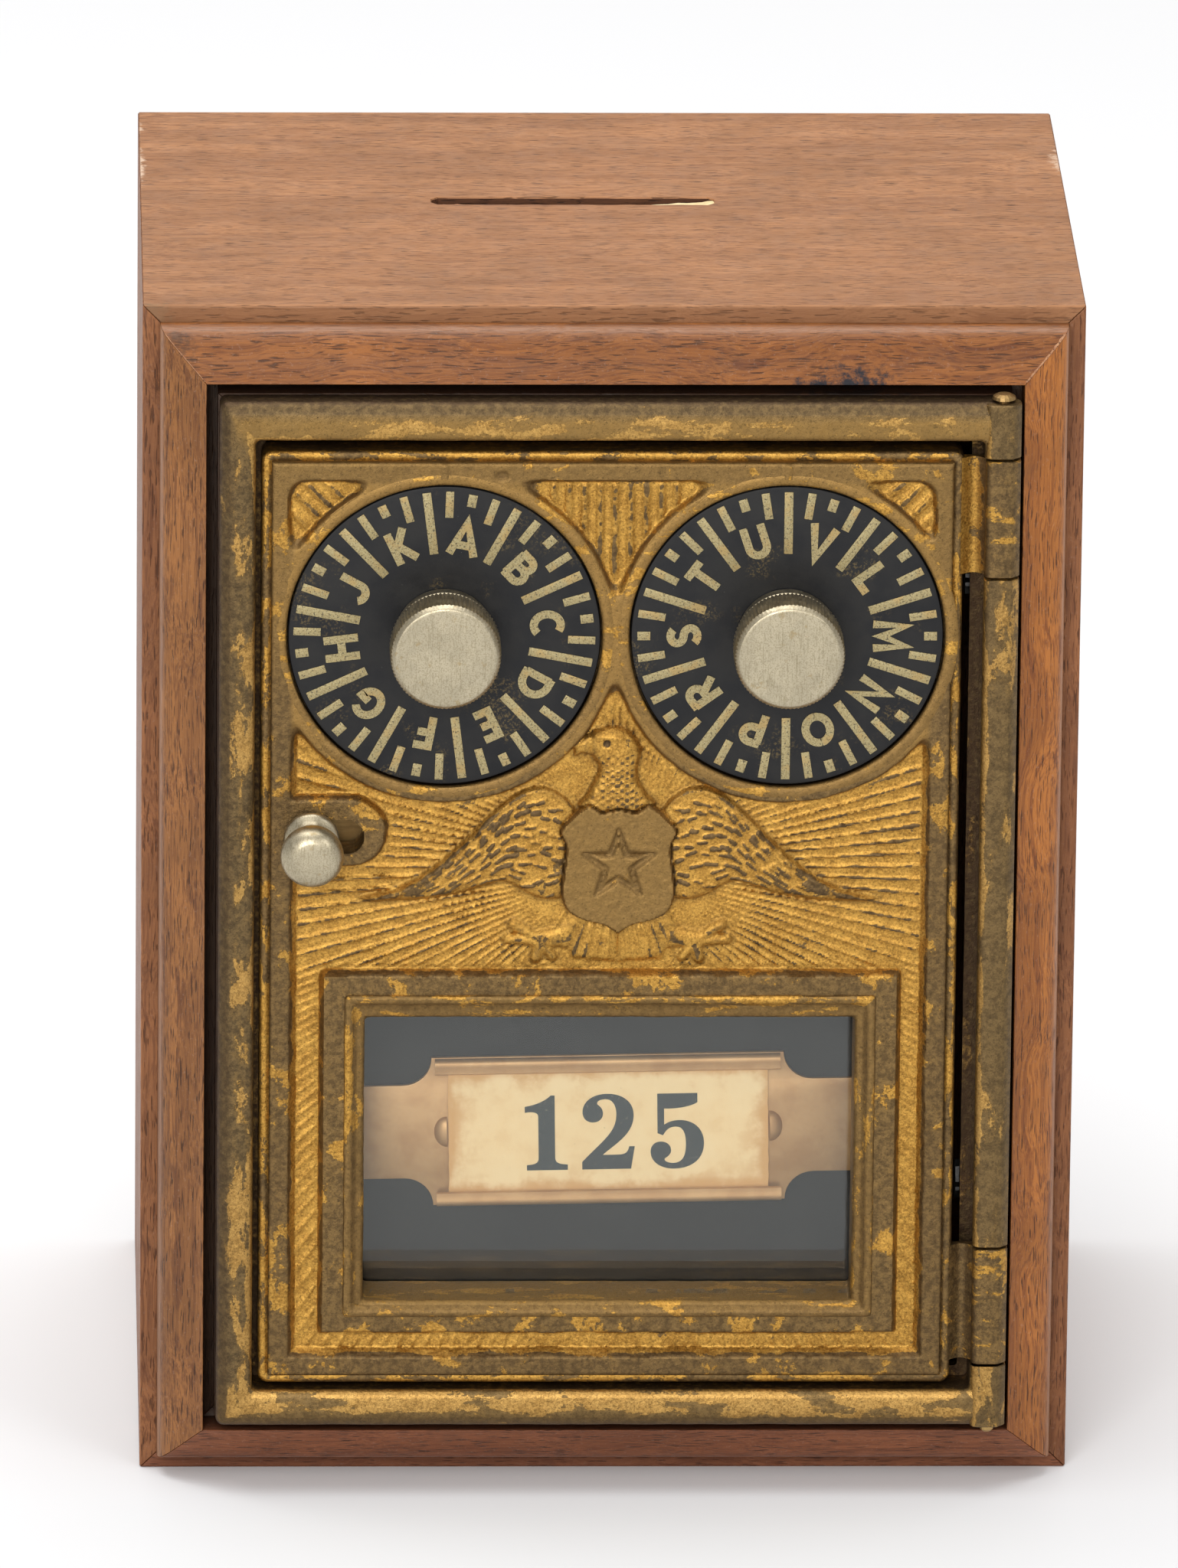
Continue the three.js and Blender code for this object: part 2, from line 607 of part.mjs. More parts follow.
function makeDoorPlate() {
  const ears = glazingScrews.map(([x, z]) => rodAt(x, z, GLAZING_SCREWS.ear, DOOR.back - 1, GLAZING_BOX.back, 16));
  const { post, postSize, postBack } = SPRING;
  const springPost = slab(post, post + postSize, DOOR.back - 1, postBack, LATCH.z - postSize, LATCH.z + postSize);
  const body = join(
    doorBlank(),
    slabOf(GLAZING_BOX, DOOR.back - 1, GLAZING_BOX.back),
    ...ears,
    springPost,
    knuckle(KNUCKLES.lowerBottom, KNUCKLES.lowerTop),
    knuckle(KNUCKLES.upperBottom, KNUCKLES.upperTop),
  );
  const cuts = [
    slabOf(WINDOW, LEVEL.bead - 1, RABBET.floor + 1),
    slabOf(RABBET, RABBET.floor, GLAZING_BOX.back + 1),
    slotCutter(LATCH_SLOT.left, LATCH_SLOT.right, LATCH.z, LATCH_SLOT.height / 2, LEVEL.bead - 1, DOOR.back + 1),
    uprightRod(HINGE.x, hingeY, HINGE.bore, DOOR.bottom, DOOR.top),
  ];
  for (const x of Object.values(DIAL_X)) {
    cuts.push(rodAt(x, DIAL_Z, DIAL.recess, LEVEL.bead - 1, DIAL.recessFloor, 48));
    cuts.push(rodAt(x, DIAL_Z, SPINDLE.bore, LEVEL.bead - 1, DOOR.back + 1));
  }
  for (const [x, z] of glazingScrews) {
    cuts.push(rodAt(x, z, 1.2, -2.2, GLAZING_BOX.back + 1, SCREW_FACETS));
  }
  for (const [x, z] of coverScrews) {
    cuts.push(rodAt(x, z, 1.2, -7.3, DOOR.back + 1, SCREW_FACETS));
  }
  for (const x of GUIDE_SCREW_X) {
    cuts.push(rodAt(x, LATCH.z, 1.4, -7.4, DOOR.back + 1, SCREW_FACETS));
  }
  addPart('door_plate', cut(body, ...cuts), LACQUERED_BRASS, door);
}

// ---------------------------------------------------------------- window, from front to back

function makeCardHolder() {
  const { halfWidth, halfHeight, strap, flare } = HOLDER;
  const reach = RABBET.right - RABBET_PLAY - 0.6;
  const shape = new THREE.Shape();
  shape.moveTo(-reach, -strap);
  for (const side of [-1, 1]) {
    const flareStart = side * (halfWidth + flare);
    const centre = side * halfWidth;
    if (side < 0) {
      shape.lineTo(flareStart, -strap);
      shape.quadraticCurveTo(centre, -strap, centre, -halfHeight);
    } else {
      shape.lineTo(centre, -halfHeight);
      shape.quadraticCurveTo(centre, -strap, flareStart, -strap);
    }
  }
  shape.lineTo(reach, -strap);
  shape.lineTo(reach, strap);
  shape.lineTo(halfWidth + flare, strap);
  shape.quadraticCurveTo(halfWidth, strap, halfWidth, halfHeight);
  shape.lineTo(-halfWidth, halfHeight);
  shape.quadraticCurveTo(-halfWidth, strap, -halfWidth - flare, strap);
  shape.lineTo(-reach, strap);

  const sheet = new THREE.Group();
  sheet.position.set(HOLDER.x, 0, HOLDER.z);
  sheet.rotation.y = -THREE.MathUtils.degToRad(HOLDER.tilt);
  door.add(sheet);

  const { lipFront, lipBack } = HOLDER;
  const lipInner = CARD.halfHeight - HOLDER.lipReach;
  const lipEnd = halfWidth - 0.6;
  const back = plate(shape, HOLDER.front, HOLDER.back);
  const lips = [];
  for (const side of [-1, 1]) {
    const [low, high] = [side * lipInner, side * halfHeight].sort((a, b) => a - b);
    lips.push(slab(-lipEnd, lipEnd, lipFront, lipBack, low, high));
    const [wallLow, wallHigh] = [side * (CARD.halfHeight + 0.3), side * halfHeight].sort((a, b) => a - b);
    lips.push(slab(-lipEnd, lipEnd, lipFront, HOLDER.front + 0.2, wallLow, wallHigh));
  }
  addPart('card_holder', join(back, ...lips), BRASS, sheet);
  const card = slab(-CARD.halfWidth, CARD.halfWidth, CARD.front, CARD.back, -CARD.halfHeight, CARD.halfHeight);
  addPart('number_card', card, PAPER, sheet);
}

function makeWindow() {
  const pane = shrink(RABBET, RABBET_PLAY);
  addPart('glass_pane', slabOf(pane, PANE.front, PANE.back), GLASS, door);
  makeCardHolder();
  addPart('window_backing', slabOf(pane, BACKING.front, BACKING.back), BLACK_CARD, door);

  const front = GLAZING_BOX.back + RETAINER.gap;
  const back = front + RETAINER.sheet;
  const outline = slabOf(shrink(GLAZING_BOX, -RETAINER.overhang), front, back);
  const ears = glazingScrews.map(([x, z]) => rodAt(x, z, GLAZING_SCREWS.ear, front, back, 16));
  const holes = glazingScrews.map(([x, z]) => rodAt(x, z, 1.25, front - 1, back + 1, SCREW_FACETS));
  const opening = slabOf(WINDOW, front - 1, back + 1);
  addPart('window_retainer', cut(join(outline, ...ears), opening, ...holes), BRASS, door);

  glazingScrews.forEach(([x, z], i) => {
    const screw = addPart(`retainer_screw_${i + 1}`, cheeseScrew(2, 1, 0.9, 7), BRASS, door);
    screw.position.set(x, depthY(back + 0.3 + 1), z);
  });
}

// ---------------------------------------------------------------- dials

// A knurled nickel knob: bevelled face, toothed band and a plain neck, hollow for its spindle.
function dialKnob() {
  const { radius, front, back, teeth, toothDepth } = KNOB;
  const outline = [];
  for (let i = 0; i < teeth * 2; i += 1) {
    const angle = (i / (teeth * 2)) * 2 * Math.PI;
    const r = i % 2 === 0 ? radius : radius - toothDepth;
    outline.push(new THREE.Vector2(r * Math.cos(angle), r * Math.sin(angle)));
  }
  const band = plate(new THREE.Shape(outline), front + 0.5, front + 5.2);
  const y = (d) => depthY(d);
  const core = turned(
    [[0, y(front)], [5.6, y(front)], [6.1, y(front + 0.6)], [6.1, y(front + 5.4)], [5.6, y(front + 6)],
      [5.8, y(back)], [0, y(back)]],
    30,
  );
  return join(band, core).subtract(rod(SPINDLE.bore, y(SPINDLE.front - 0.3), y(back + 1)));
}

function tumbler() {
  const { radius, front, back, gateWidth, gateDepth } = TUMBLER;
  const wheel = rod(radius, depthY(front), depthY(back), 32);
  const gate = slab(-gateWidth / 2, gateWidth / 2, front - 1, back + 1, -radius - 1, -radius + gateDepth);
  return cut(wheel, gate, rod(SPINDLE.bore, depthY(front - 1), depthY(back + 1)));
}

function hexNut() {
  const blank = rod(NUT.radius, depthY(NUT.front), depthY(NUT.back), 6);
  return blank.subtract(rod(SPINDLE.bore, depthY(NUT.front - 1), depthY(NUT.back + 1)));
}

function makeDial(name, x) {
  const dial = new THREE.Group();
  dial.position.set(x, 0, DIAL_Z);
  door.add(dial);
  const disc = rod(DIAL.radius, depthY(DIAL.front), depthY(DIAL.back), 48)
    .subtract(rod(SPINDLE.bore, depthY(DIAL.front - 1), depthY(DIAL.back + 1)));
  addPart(`${name}_dial`, disc, BLACK_ENAMEL, dial);
  addPart(`${name}_knob`, dialKnob(), NICKEL, dial);
  addPart(`${name}_spindle`, rod(SPINDLE.radius, depthY(SPINDLE.front), depthY(SPINDLE.back)), STEEL, dial);
  addPart(`${name}_tumbler`, tumbler(), BRASS, dial);
  addPart(`${name}_nut`, hexNut(), BRASS, dial);
}

// ---------------------------------------------------------------- latch

function makeLatchKnob() {
  const y = (d) => depthY(d);
  const profile = [
    [0, -19], [1.6, -18.95], [2.8, -18.6], [3.5, -18], [3.7, -17.2], [3.6, -16.4], [3, -15.6], [2.3, -14.8],
    [1.95, -13.4], [1.95, -12], [2.4, -11.2], [3.25, -10.8], [3.25, -10.15], [LATCH.stud, -10.15],
    [LATCH.stud, -2.9], [0, -2.9],
  ];
  const knob = turned(profile.map(([r, d]) => [r, y(d)]), 20);
  addPart('latch_knob', knob.translate([LATCH.x, 0, LATCH.z]), NICKEL, door);
}

// The fences stop short of the tumblers' rims at full travel, wherever the gates stand.
function makeBoltSlide() {
  const { front, back, nose, end, halfHeight, armTop } = SLIDE;
  const z = LATCH.z;
  const body = [slab(nose, end, front, back, z - halfHeight, z + halfHeight)];
  for (const [centre, armLeft, armRight] of [[DIAL_X.left, ...ARMS.left], [DIAL_X.right, ...ARMS.right]]) {
    const tip = centre - TUMBLER.radius - ARMS.clearAtTravel - LATCH.travel;
    body.push(slab(armLeft, armRight, front, back, z, armTop));
    body.push(slab(armLeft, tip, front, back, DIAL_Z - ARMS.fenceHalf, DIAL_Z + ARMS.fenceHalf));
  }
  body.push(slab(end - 1, end, front, -1, z - 2.4, z + 2.4));
  const cuts = [rodAt(LATCH.x, z, LATCH.studHole, front - 1, back + 1, 16)];
  for (const x of GUIDE_SCREW_X) {
    cuts.push(slotCutter(x - LATCH.travel - 1.5, x + 1.5, z, 1.5, front - 1, back + 1));
  }
  addPart('bolt_slide', cut(join(...body), ...cuts), BRASS, door);

  GUIDE_SCREW_X.forEach((x, i) => {
    const screw = addPart(`guide_screw_${i + 1}`, cheeseScrew(2.5, 1, 1.1, 5.7), BRASS, door);
    screw.position.set(x, depthY(back + 0.3 + 1), z);
  });
}

// The return spring, wound along X between the slide's tab and the post on the door.
function makeBoltSpring() {
  const start = SLIDE.end + 0.3;
  const finish = SPRING.post - 0.3;
  const coil = SPRING.radius - SPRING.wire / 2;
  const wire = SPRING.wire / 2;
  class Helix extends THREE.Curve {
    getPoint(t, target = new THREE.Vector3()) {
      const angle = t * SPRING.turns * 2 * Math.PI;
      const x = start + wire + t * (finish - start - 2 * wire);
      return target.set(x, depthY(SPRING.d) + coil * Math.cos(angle), LATCH.z + coil * Math.sin(angle));
    }
  }
  const section = new THREE.Shape();
  section.absarc(0, 0, wire, 0, 2 * Math.PI);
  const wound = new THREE.ExtrudeGeometry(section, {
    extrudePath: new Helix(),
    steps: SPRING.turns * 9,
    curveSegments: 3,
    bevelEnabled: false,
  });
  addPart('bolt_spring', solid(wound), STEEL, door);
}

// A pressed pan over the lock work, with a flange along its top and bottom edges.
function makeLockCover() {
  const { sheet, back, flange } = COVER;
  const front = DOOR.back + 0.3;
  const flanges = slab(COVER.left, COVER.right, front, front + sheet, COVER.bottom - flange, COVER.top + flange);
  const pan = slabOf(COVER, front, back);
  const hollow = slabOf(shrink(COVER, sheet), front - 1, back - sheet);
  const noseHalf = SLIDE.halfHeight + 0.4;
  const nose = slab(
    COVER.left - 1, COVER.left + sheet + 1, front - 1, SLIDE.back + 0.3, LATCH.z - noseHalf, LATCH.z + noseHalf,
  );
  const holes = coverScrews.map(([x, z]) => rodAt(x, z, 1.25, front - 1, front + sheet + 1, SCREW_FACETS));
  addPart('lock_cover', cut(join(flanges, pan), hollow, nose, ...holes), BRASS, door);
  coverScrews.forEach(([x, z], i) => {
    const screw = addPart(`cover_screw_${i + 1}`, cheeseScrew(1.9, 1, 0.9, 4), BRASS, door);
    screw.position.set(x, depthY(front + sheet + 0.3 + 1), z);
  });
}

makeCase();
makeBack();
makeMoulding();
makeFrame();
makeFrameScrews();
makeHingePin();
makeDoorPlate();
makeWindow();
makeDial('left', DIAL_X.left);
makeDial('right', DIAL_X.right);
makeLatchKnob();
makeBoltSlide();
makeBoltSpring();
makeLockCover();

export default coinBank;
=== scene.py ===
import math

import bmesh
import bpy
import numpy as np
from mathutils import Matrix, Vector, noise


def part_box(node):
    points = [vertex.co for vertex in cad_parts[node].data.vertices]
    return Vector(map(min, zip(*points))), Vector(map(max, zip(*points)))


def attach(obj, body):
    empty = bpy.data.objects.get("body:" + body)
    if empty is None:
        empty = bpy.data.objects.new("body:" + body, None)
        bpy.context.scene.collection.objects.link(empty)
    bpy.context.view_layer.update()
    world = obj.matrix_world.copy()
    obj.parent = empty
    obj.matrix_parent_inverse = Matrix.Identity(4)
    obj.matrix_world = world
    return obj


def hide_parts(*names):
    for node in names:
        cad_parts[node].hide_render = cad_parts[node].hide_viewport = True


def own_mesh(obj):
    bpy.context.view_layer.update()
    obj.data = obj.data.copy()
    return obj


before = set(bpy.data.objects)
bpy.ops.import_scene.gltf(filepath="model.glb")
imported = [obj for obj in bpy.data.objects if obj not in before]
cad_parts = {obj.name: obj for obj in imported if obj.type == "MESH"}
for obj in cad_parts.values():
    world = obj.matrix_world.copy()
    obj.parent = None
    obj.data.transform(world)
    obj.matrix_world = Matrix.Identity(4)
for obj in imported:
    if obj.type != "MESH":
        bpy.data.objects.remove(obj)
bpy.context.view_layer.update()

# A coin bank: a brass lock-box door with two letter dials, in a mitred wooden case.
# Shapes are drawn as [x, depth, z] in mm. Depth runs back from the plane of the case's front edges,
# so a negative depth stands proud of the case.

noise.seed_set(7)  # without this, noise_vector is seeded from the clock and each run differs

MM = 0.001
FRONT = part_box("case_left")[0].y / MM
BIG_FACE = 0.0002  # square metres; larger faces than this are truly flat
WELD = 0.004


def box_mm(node):
    """A CAD node's box: left, right, front, back, bottom, top, with front and back as depths."""
    low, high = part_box(node)
    return (low.x / MM, high.x / MM, low.y / MM - FRONT, high.y / MM - FRONT, low.z / MM, high.z / MM)


CASE = (box_mm("case_left")[0], box_mm("case_right")[1], 0, box_mm("case_top")[5])
CASE_BACK = box_mm("case_left")[3]
FRAME_BOX = box_mm("door_frame")
DIALS = {}
for side in ("left", "right"):
    low_x, high_x, _, _, low_z, high_z = box_mm(side + "_dial")
    DIALS[side] = ((low_x + high_x) / 2, (low_z + high_z) / 2, (high_x - low_x) / 2)
DIAL_Z = DIALS["left"][1]
LATCH_X = (box_mm("latch_knob")[0] + box_mm("latch_knob")[1]) / 2
LATCH_Z = (box_mm("latch_knob")[4] + box_mm("latch_knob")[5]) / 2

# The door's levels, as depths
FIELD = -8.4
FLAT = -9.8
BEAD = -10.2
RIM = -9.0
PLATE_FRONT = -7.0
PLATE_BACK = -5.0

# The door's outlines, as left, right, bottom, top
DOOR = (-41.2, 40.6, 13.9, 129.0)
BORDER = (-40.0, 39.4, 15.1, 127.8)
FIELD_BOX = (-37.7, 37.1, 17.4, 125.5)
WINDOW_BORDER = (-33.7, 33.7, 20.5, 64.9)
WINDOW_BEAD = (-31.2, 31.2, 22.5, 62.5)
WINDOW = (-28.8, 28.8, 24.3, 59.5)
RABBET = (-32.8, 32.8, 21.0, 63.0)
GLAZING = (-35.0, 35.0, 18.6, 65.4)
COLLAR = 20.25
RECESS = 18.65

# ------------------------------------------------------------------ plane geometry


def grown(box, by):
    return (box[0] - by, box[1] + by, box[2] - by, box[3] + by)


def between(a, b, t):
    return tuple(p + (q - p) * t for p, q in zip(a, b))


def smoothstep(low, high, value):
    t = np.clip((value - low) / (high - low), 0, 1)
    return t * t * (3 - 2 * t)


def box_inside(x, z, box):
    left, right, bottom, top = box
    return np.minimum(np.minimum(x - left, right - x), np.minimum(z - bottom, top - z))


def upright(x, z, box):
    """1 where a box's left or right side is nearest, 0 where its top or bottom is."""
    return np.minimum(x - box[0], box[1] - x) < np.minimum(z - box[2], box[3] - z)


def arc(cx, cz, radius_x, radius_z, start, end, steps=14):
    """Points on an ellipse, angles in degrees anticlockwise from the right."""
    angles = [math.radians(start + (end - start) * k / steps) for k in range(steps + 1)]
    return [(cx + radius_x * math.cos(a), cz + radius_z * math.sin(a)) for a in angles]


def rounded_loop(box, radius, side_steps=1, corner_steps=5):
    """A rectangle with round corners, anticlockwise as seen from the front."""
    left, right, bottom, top = grown(box, -radius)
    corners = []
    for cx, cz, start in ((left, bottom, 180), (right, bottom, 270), (right, top, 360), (left, top, 450)):
        corners.append(arc(cx, cz, radius, radius, start, start + 90, corner_steps))
    points = []
    for i, corner in enumerate(corners):
        points += corner
        points += [between(corner[-1], corners[(i + 1) % 4][0], k / side_steps) for k in range(1, side_steps)]
    return points


def circle(x, z, radius, segments=48):
    return arc(x, z, radius, radius, 0, 360, segments)[:-1]


def stadium(left, right, z, radius):
    """An outline with straight sides and round ends."""
    return arc(right - radius, z, radius, radius, -90, 90) + arc(left + radius, z, radius, radius, 90, 270)


def smooth_curve(points, closed=False, steps=6):
    """A Catmull-Rom curve through points."""
    points = [np.array(p, float) for p in points]
    count = len(points)
    made = []
    for i in range(count if closed else count - 1):
        places = [i + k for k in (-1, 0, 1, 2)]
        places = [p % count if closed else min(max(p, 0), count - 1) for p in places]
        a, b, c, d = (points[p] for p in places)
        for t in np.arange(steps) / steps:
            bend = (2 * a - 5 * b + 4 * c - d) * t**2 + (3 * b - a - 3 * c + d) * t**3
            made.append(0.5 * (2 * b + (c - a) * t + bend))
    if not closed:
        made.append(points[-1])
    return [tuple(p) for p in made]


# ------------------------------------------------------------------ meshes


def skin(rings, closed=False, caps="faces"):
    """A shell through rings of equally many points. Its ends are closed by faces, or by ladders, rows of quads
    across rings that are long and thin, or left open. A closed skin joins its last ring to its first."""
    size = len(rings[0])
    count = len(rings)
    faces = []
    for i in range(count if closed else count - 1):
        a, b = i * size, (i + 1) % count * size
        for k in range(size):
            m = (k + 1) % size
            faces.append((a + k, a + m, b + m, b + k))
    for start in () if closed else (0, (count - 1) * size):
        if caps == "faces":
            faces.append(tuple(range(start, start + size)))
        if caps == "ladders":
            end = start + size - 1
            faces += [(start + k, start + k + 1, end - k - 1, end - k) for k in range(size // 2 - 1)]
    return np.array([point for ring in rings for point in ring], float), faces


def swept_ring(layers, side_steps=1, corner_steps=5):
    """A ring whose closed section runs through layers of (box, corner radius, depth)."""
    rings = []
    for box, radius, depth in layers:
        rings.append([(x, depth, z) for x, z in rounded_loop(box, radius, side_steps, corner_steps)])
    return skin(rings, closed=True)


def layers_of(box, rows):
    """Layers for swept_ring, from rows of (how far the box grows, corner radius, depth)."""
    return [(grown(box, by), radius, depth) for by, radius, depth in rows]


def lathe(profile, x, z, segments=64, closed=False):
    """A profile of (radius, depth) turned round the front-to-back line through x and z."""
    rings = [[(cx, depth, cz) for cx, cz in circle(x, z, radius, segments)] for radius, depth in profile]
    return skin(rings, closed, caps="open")


def prism(section, low, high, axis):
    """A bar from low to high. Along Z the section is [x, depth], and along X it is [depth, z]."""
    return skin([[(a, b, end) if axis == "z" else (end, a, b) for a, b in section] for end in (low, high)])


def flat_part(outlines, front, back, edge=0.0, edge_steps=1):
    """Closed outlines, later ones as holes, made into a plate with softened edges."""
    curve = bpy.data.curves.new("outline", "CURVE")
    curve.dimensions = "2D"
    curve.fill_mode = "BOTH"
    curve.extrude = (back - front) / 2 - edge
    curve.bevel_depth = edge
    curve.bevel_resolution = edge_steps
    curve.offset = -edge
    for outline in outlines:
        spline = curve.splines.new("POLY")
        spline.points.add(len(outline) - 1)
        spline.points.foreach_set("co", [c for x, z in outline for c in (x, z, 0, 1)])
        spline.use_cyclic_u = True
    holder = linked("outline", curve)
    mesh = evaluated_mesh(holder)
    middle = (front + back) / 2
    vertices = np.array([(v.co.x, middle - v.co.z, v.co.y) for v in mesh.vertices])
    faces = [tuple(p.vertices) for p in mesh.polygons]
    bpy.data.objects.remove(holder)
    bpy.data.meshes.remove(mesh)
    return vertices, faces


def linked(name, data):
    made = bpy.data.objects.new(name, data)
    bpy.context.scene.collection.objects.link(made)
    return made


def evaluated_mesh(thing):
    return bpy.data.meshes.new_from_object(thing.evaluated_get(bpy.context.evaluated_depsgraph_get()))


def raw_mesh(name, vertices, faces):
    mesh = bpy.data.meshes.new(name)
    mesh.from_pydata(((vertices + [0, FRONT, 0]) * MM).tolist(), [], faces)
    return mesh


def welded_mesh(name, shells, wobble=None):
    """One mesh from shells of (vertices, faces). wobble is how far points stray, and over what distance."""
    faces = []
    start = 0
    for shell_vertices, shell_faces in shells:
        faces += [tuple(start + i for i in face) for face in shell_faces]
        start += len(shell_vertices)
    vertices = np.concatenate([shell[0] for shell in shells])
    if wobble:
        amount, cell = wobble
        vertices = vertices + np.array([noise.noise_vector(Vector(v) / cell) for v in vertices]) * amount
    mesh = raw_mesh(name, vertices, faces)
    work = bmesh.new()
    work.from_mesh(mesh)
    bmesh.ops.remove_doubles(work, verts=work.verts, dist=WELD * MM)
    bmesh.ops.dissolve_degenerate(work, edges=work.edges, dist=WELD / 8 * MM)
    bmesh.ops.recalc_face_normals(work, faces=work.faces)
    work.to_mesh(mesh)
    work.free()
    return mesh


def shade(mesh, sharp):
    mesh.shade_smooth()
    mesh.set_sharp_from_angle(angle=math.radians(sharp))


def dress(mesh, body, material, replaces=(), sharp=32, paint=None):
    """Makes a mesh into a visible piece, which rides on a body."""
    shade(mesh, sharp)
    piece = linked(mesh.name, mesh)
    mesh.materials.append(material)
    if paint:
        put_paint(mesh, paint)
    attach(piece, body)
    if replaces:
        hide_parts(*replaces)
    return piece


def make_piece(name, body, slot, material, shells, replaces=(), sharp=32, paint=None, wobble=None):
    """One visible piece from shells of (vertices, faces)."""
    return dress(welded_mesh(name, shells, wobble), body, material, replaces, sharp, paint)


def put_values(mesh, values):
    for key, numbers in values.items():
        attribute = mesh.attributes.new(key, "FLOAT", "POINT")
        numbers = np.broadcast_to(numbers, len(mesh.vertices)).astype(np.float32)
        attribute.data.foreach_set("value", numbers)


def put_paint(mesh, paint):
    """Writes the vertex values that a material reads, from a function of x, depth and z in mm."""
    places = np.zeros(len(mesh.vertices) * 3)
    mesh.vertices.foreach_get("co", places)
    x, d, z = places.reshape(-1, 3).T / MM
    put_values(mesh, paint(x, d - FRONT, z))


def carve(piece, shell):
    """Cuts a closed shell out of a piece."""
    cutter = linked("cutter", welded_mesh("cutter", [shell]))
    change = piece.modifiers.new("cut", "BOOLEAN")
    change.operation = "DIFFERENCE"
    change.solver = "EXACT"
    change.object = cutter
    apply_changes(piece)
    bpy.data.objects.remove(cutter)


def apply_changes(piece):
    done = evaluated_mesh(piece)
    piece.modifiers.clear()
    old = piece.data
    piece.data = done
    bpy.data.meshes.remove(old)


def soften(piece, width):
    change = piece.modifiers.new("soften", "BEVEL")
    change.width = width * MM
    change.segments = 2
    change.limit_method = "ANGLE"
    change.angle_limit = math.radians(40)
    apply_changes(piece)
    shade(piece.data, 35)
    for polygon in piece.data.polygons:
        if polygon.area > BIG_FACE:
            polygon.use_smooth = False


# ------------------------------------------------------------------ materials


def scaled(colour, by):
    return tuple(c * by for c in colour)


class Look:
    """A material's node tree. Coordinates are the row frame's, in mm, and colour is built up in layers."""

    def __init__(self, name, shift=(0, 0, 0)):
        self.material = bpy.data.materials.new(name)
        self.material.use_nodes = True
        self.nodes = self.material.node_tree.nodes
        self.links = self.material.node_tree.links
        self.shader = self.nodes["Principled BSDF"]
        self.shift = shift
        self.place = self.coords()
        self.colour = None

    def node(self, kind, inputs=(), **settings):
        node = self.nodes.new(kind)
        for key, value in settings.items():
            setattr(node, key, value)
        for key, value in dict(inputs).items():
            self.feed(node.inputs[key], value)
        return node

    def feed(self, socket, value):
        if isinstance(value, bpy.types.NodeSocket):
            self.links.new(value, socket)
        elif isinstance(value, tuple) and len(value) == 3 and socket.type == "RGBA":
            socket.default_value = (*value, 1)
        else:
            socket.default_value = value

    def coords(self, stretch=(1, 1, 1), shift=None):
        source = self.node("ShaderNodeTexCoord").outputs["Object"]
        inputs = {"Vector": source, "Scale": scaled(stretch, 1 / MM), "Location": shift or self.shift}
        return self.node("ShaderNodeMapping", inputs).outputs[0]

    def depth(self):
        return self.node("ShaderNodeSeparateXYZ", {0: self.coords(shift=(0, 0, 0))}).outputs[1]

    def noise(self, size, detail=2.0, rough=0.5, distortion=0.0, at=None):
        """Noise whose blobs are about size mm across."""
        inputs = {"Vector": at or self.place, "Scale": 1 / size, "Detail": detail, "Roughness": rough,
                  "Distortion": distortion}
        return self.node("ShaderNodeTexNoise", inputs).outputs["Fac"]

    def blots(self, size, detail, rough, low, high, to_low=0.0, to_high=1.0):
        """Patches where the noise lies between low and high or beyond."""
        return self.fit(self.noise(size, detail, rough), low, high, to_low, to_high)

    def dots(self, size, reach, share, spread, low, high):
        """Small round dots up to share strong, only in the blots that spread, low and high give."""
        inputs = {"Vector": self.place, "Scale": 1 / size, "Randomness": 1.0}
        cells = self.node("ShaderNodeTexVoronoi", inputs, feature="F1").outputs["Distance"]
        return self.times(self.fit(cells, 0.0, reach, share, 0.0), self.blots(spread, 1, 0.5, low, high))

    def attribute(self, name):
        return self.node("ShaderNodeAttribute", attribute_name=name).outputs["Fac"]

    def math(self, operation, a, b):
        return self.node("ShaderNodeMath", {0: a, 1: b}, operation=operation).outputs[0]

    def times(self, a, b):
        return self.math("MULTIPLY", a, b)

    def plus(self, a, b):
        return self.math("ADD", a, b)

    def minus(self, a, b):
        return self.math("SUBTRACT", a, b)

    def vector(self, operation, a, b=(0, 0, 0), output=0):
        return self.node("ShaderNodeVectorMath", {0: a, 1: b}, operation=operation).outputs[output]

    def fit(self, value, low, high, to_low=0.0, to_high=1.0):
        inputs = {"Value": value, "From Min": low, "From Max": high, "To Min": to_low, "To Max": to_high}
        return self.node("ShaderNodeMapRange", inputs, interpolation_type="SMOOTHSTEP").outputs[0]

    def mix(self, share, a, b):
        return self.node("ShaderNodeMix", {0: share, 6: a, 7: b}, data_type="RGBA").outputs[2]

    def cover(self, share, tint):
        """Lays a tint over the colour."""
        self.colour = self.mix(share, self.colour, tint)

    def finish(self, height=None, bump=1.0, **values):
        """Sets the shader: its colour, a bump from a height in mm, and the values given."""
        if height is not None:
            inputs = {"Height": height, "Strength": bump, "Distance": MM}
            values["Normal"] = self.node("ShaderNodeBump", inputs).outputs[0]
        values["Base_Color"] = self.colour
        for key, value in values.items():
            self.feed(self.shader.inputs[key.replace("_", " ")], value)
        return self.material


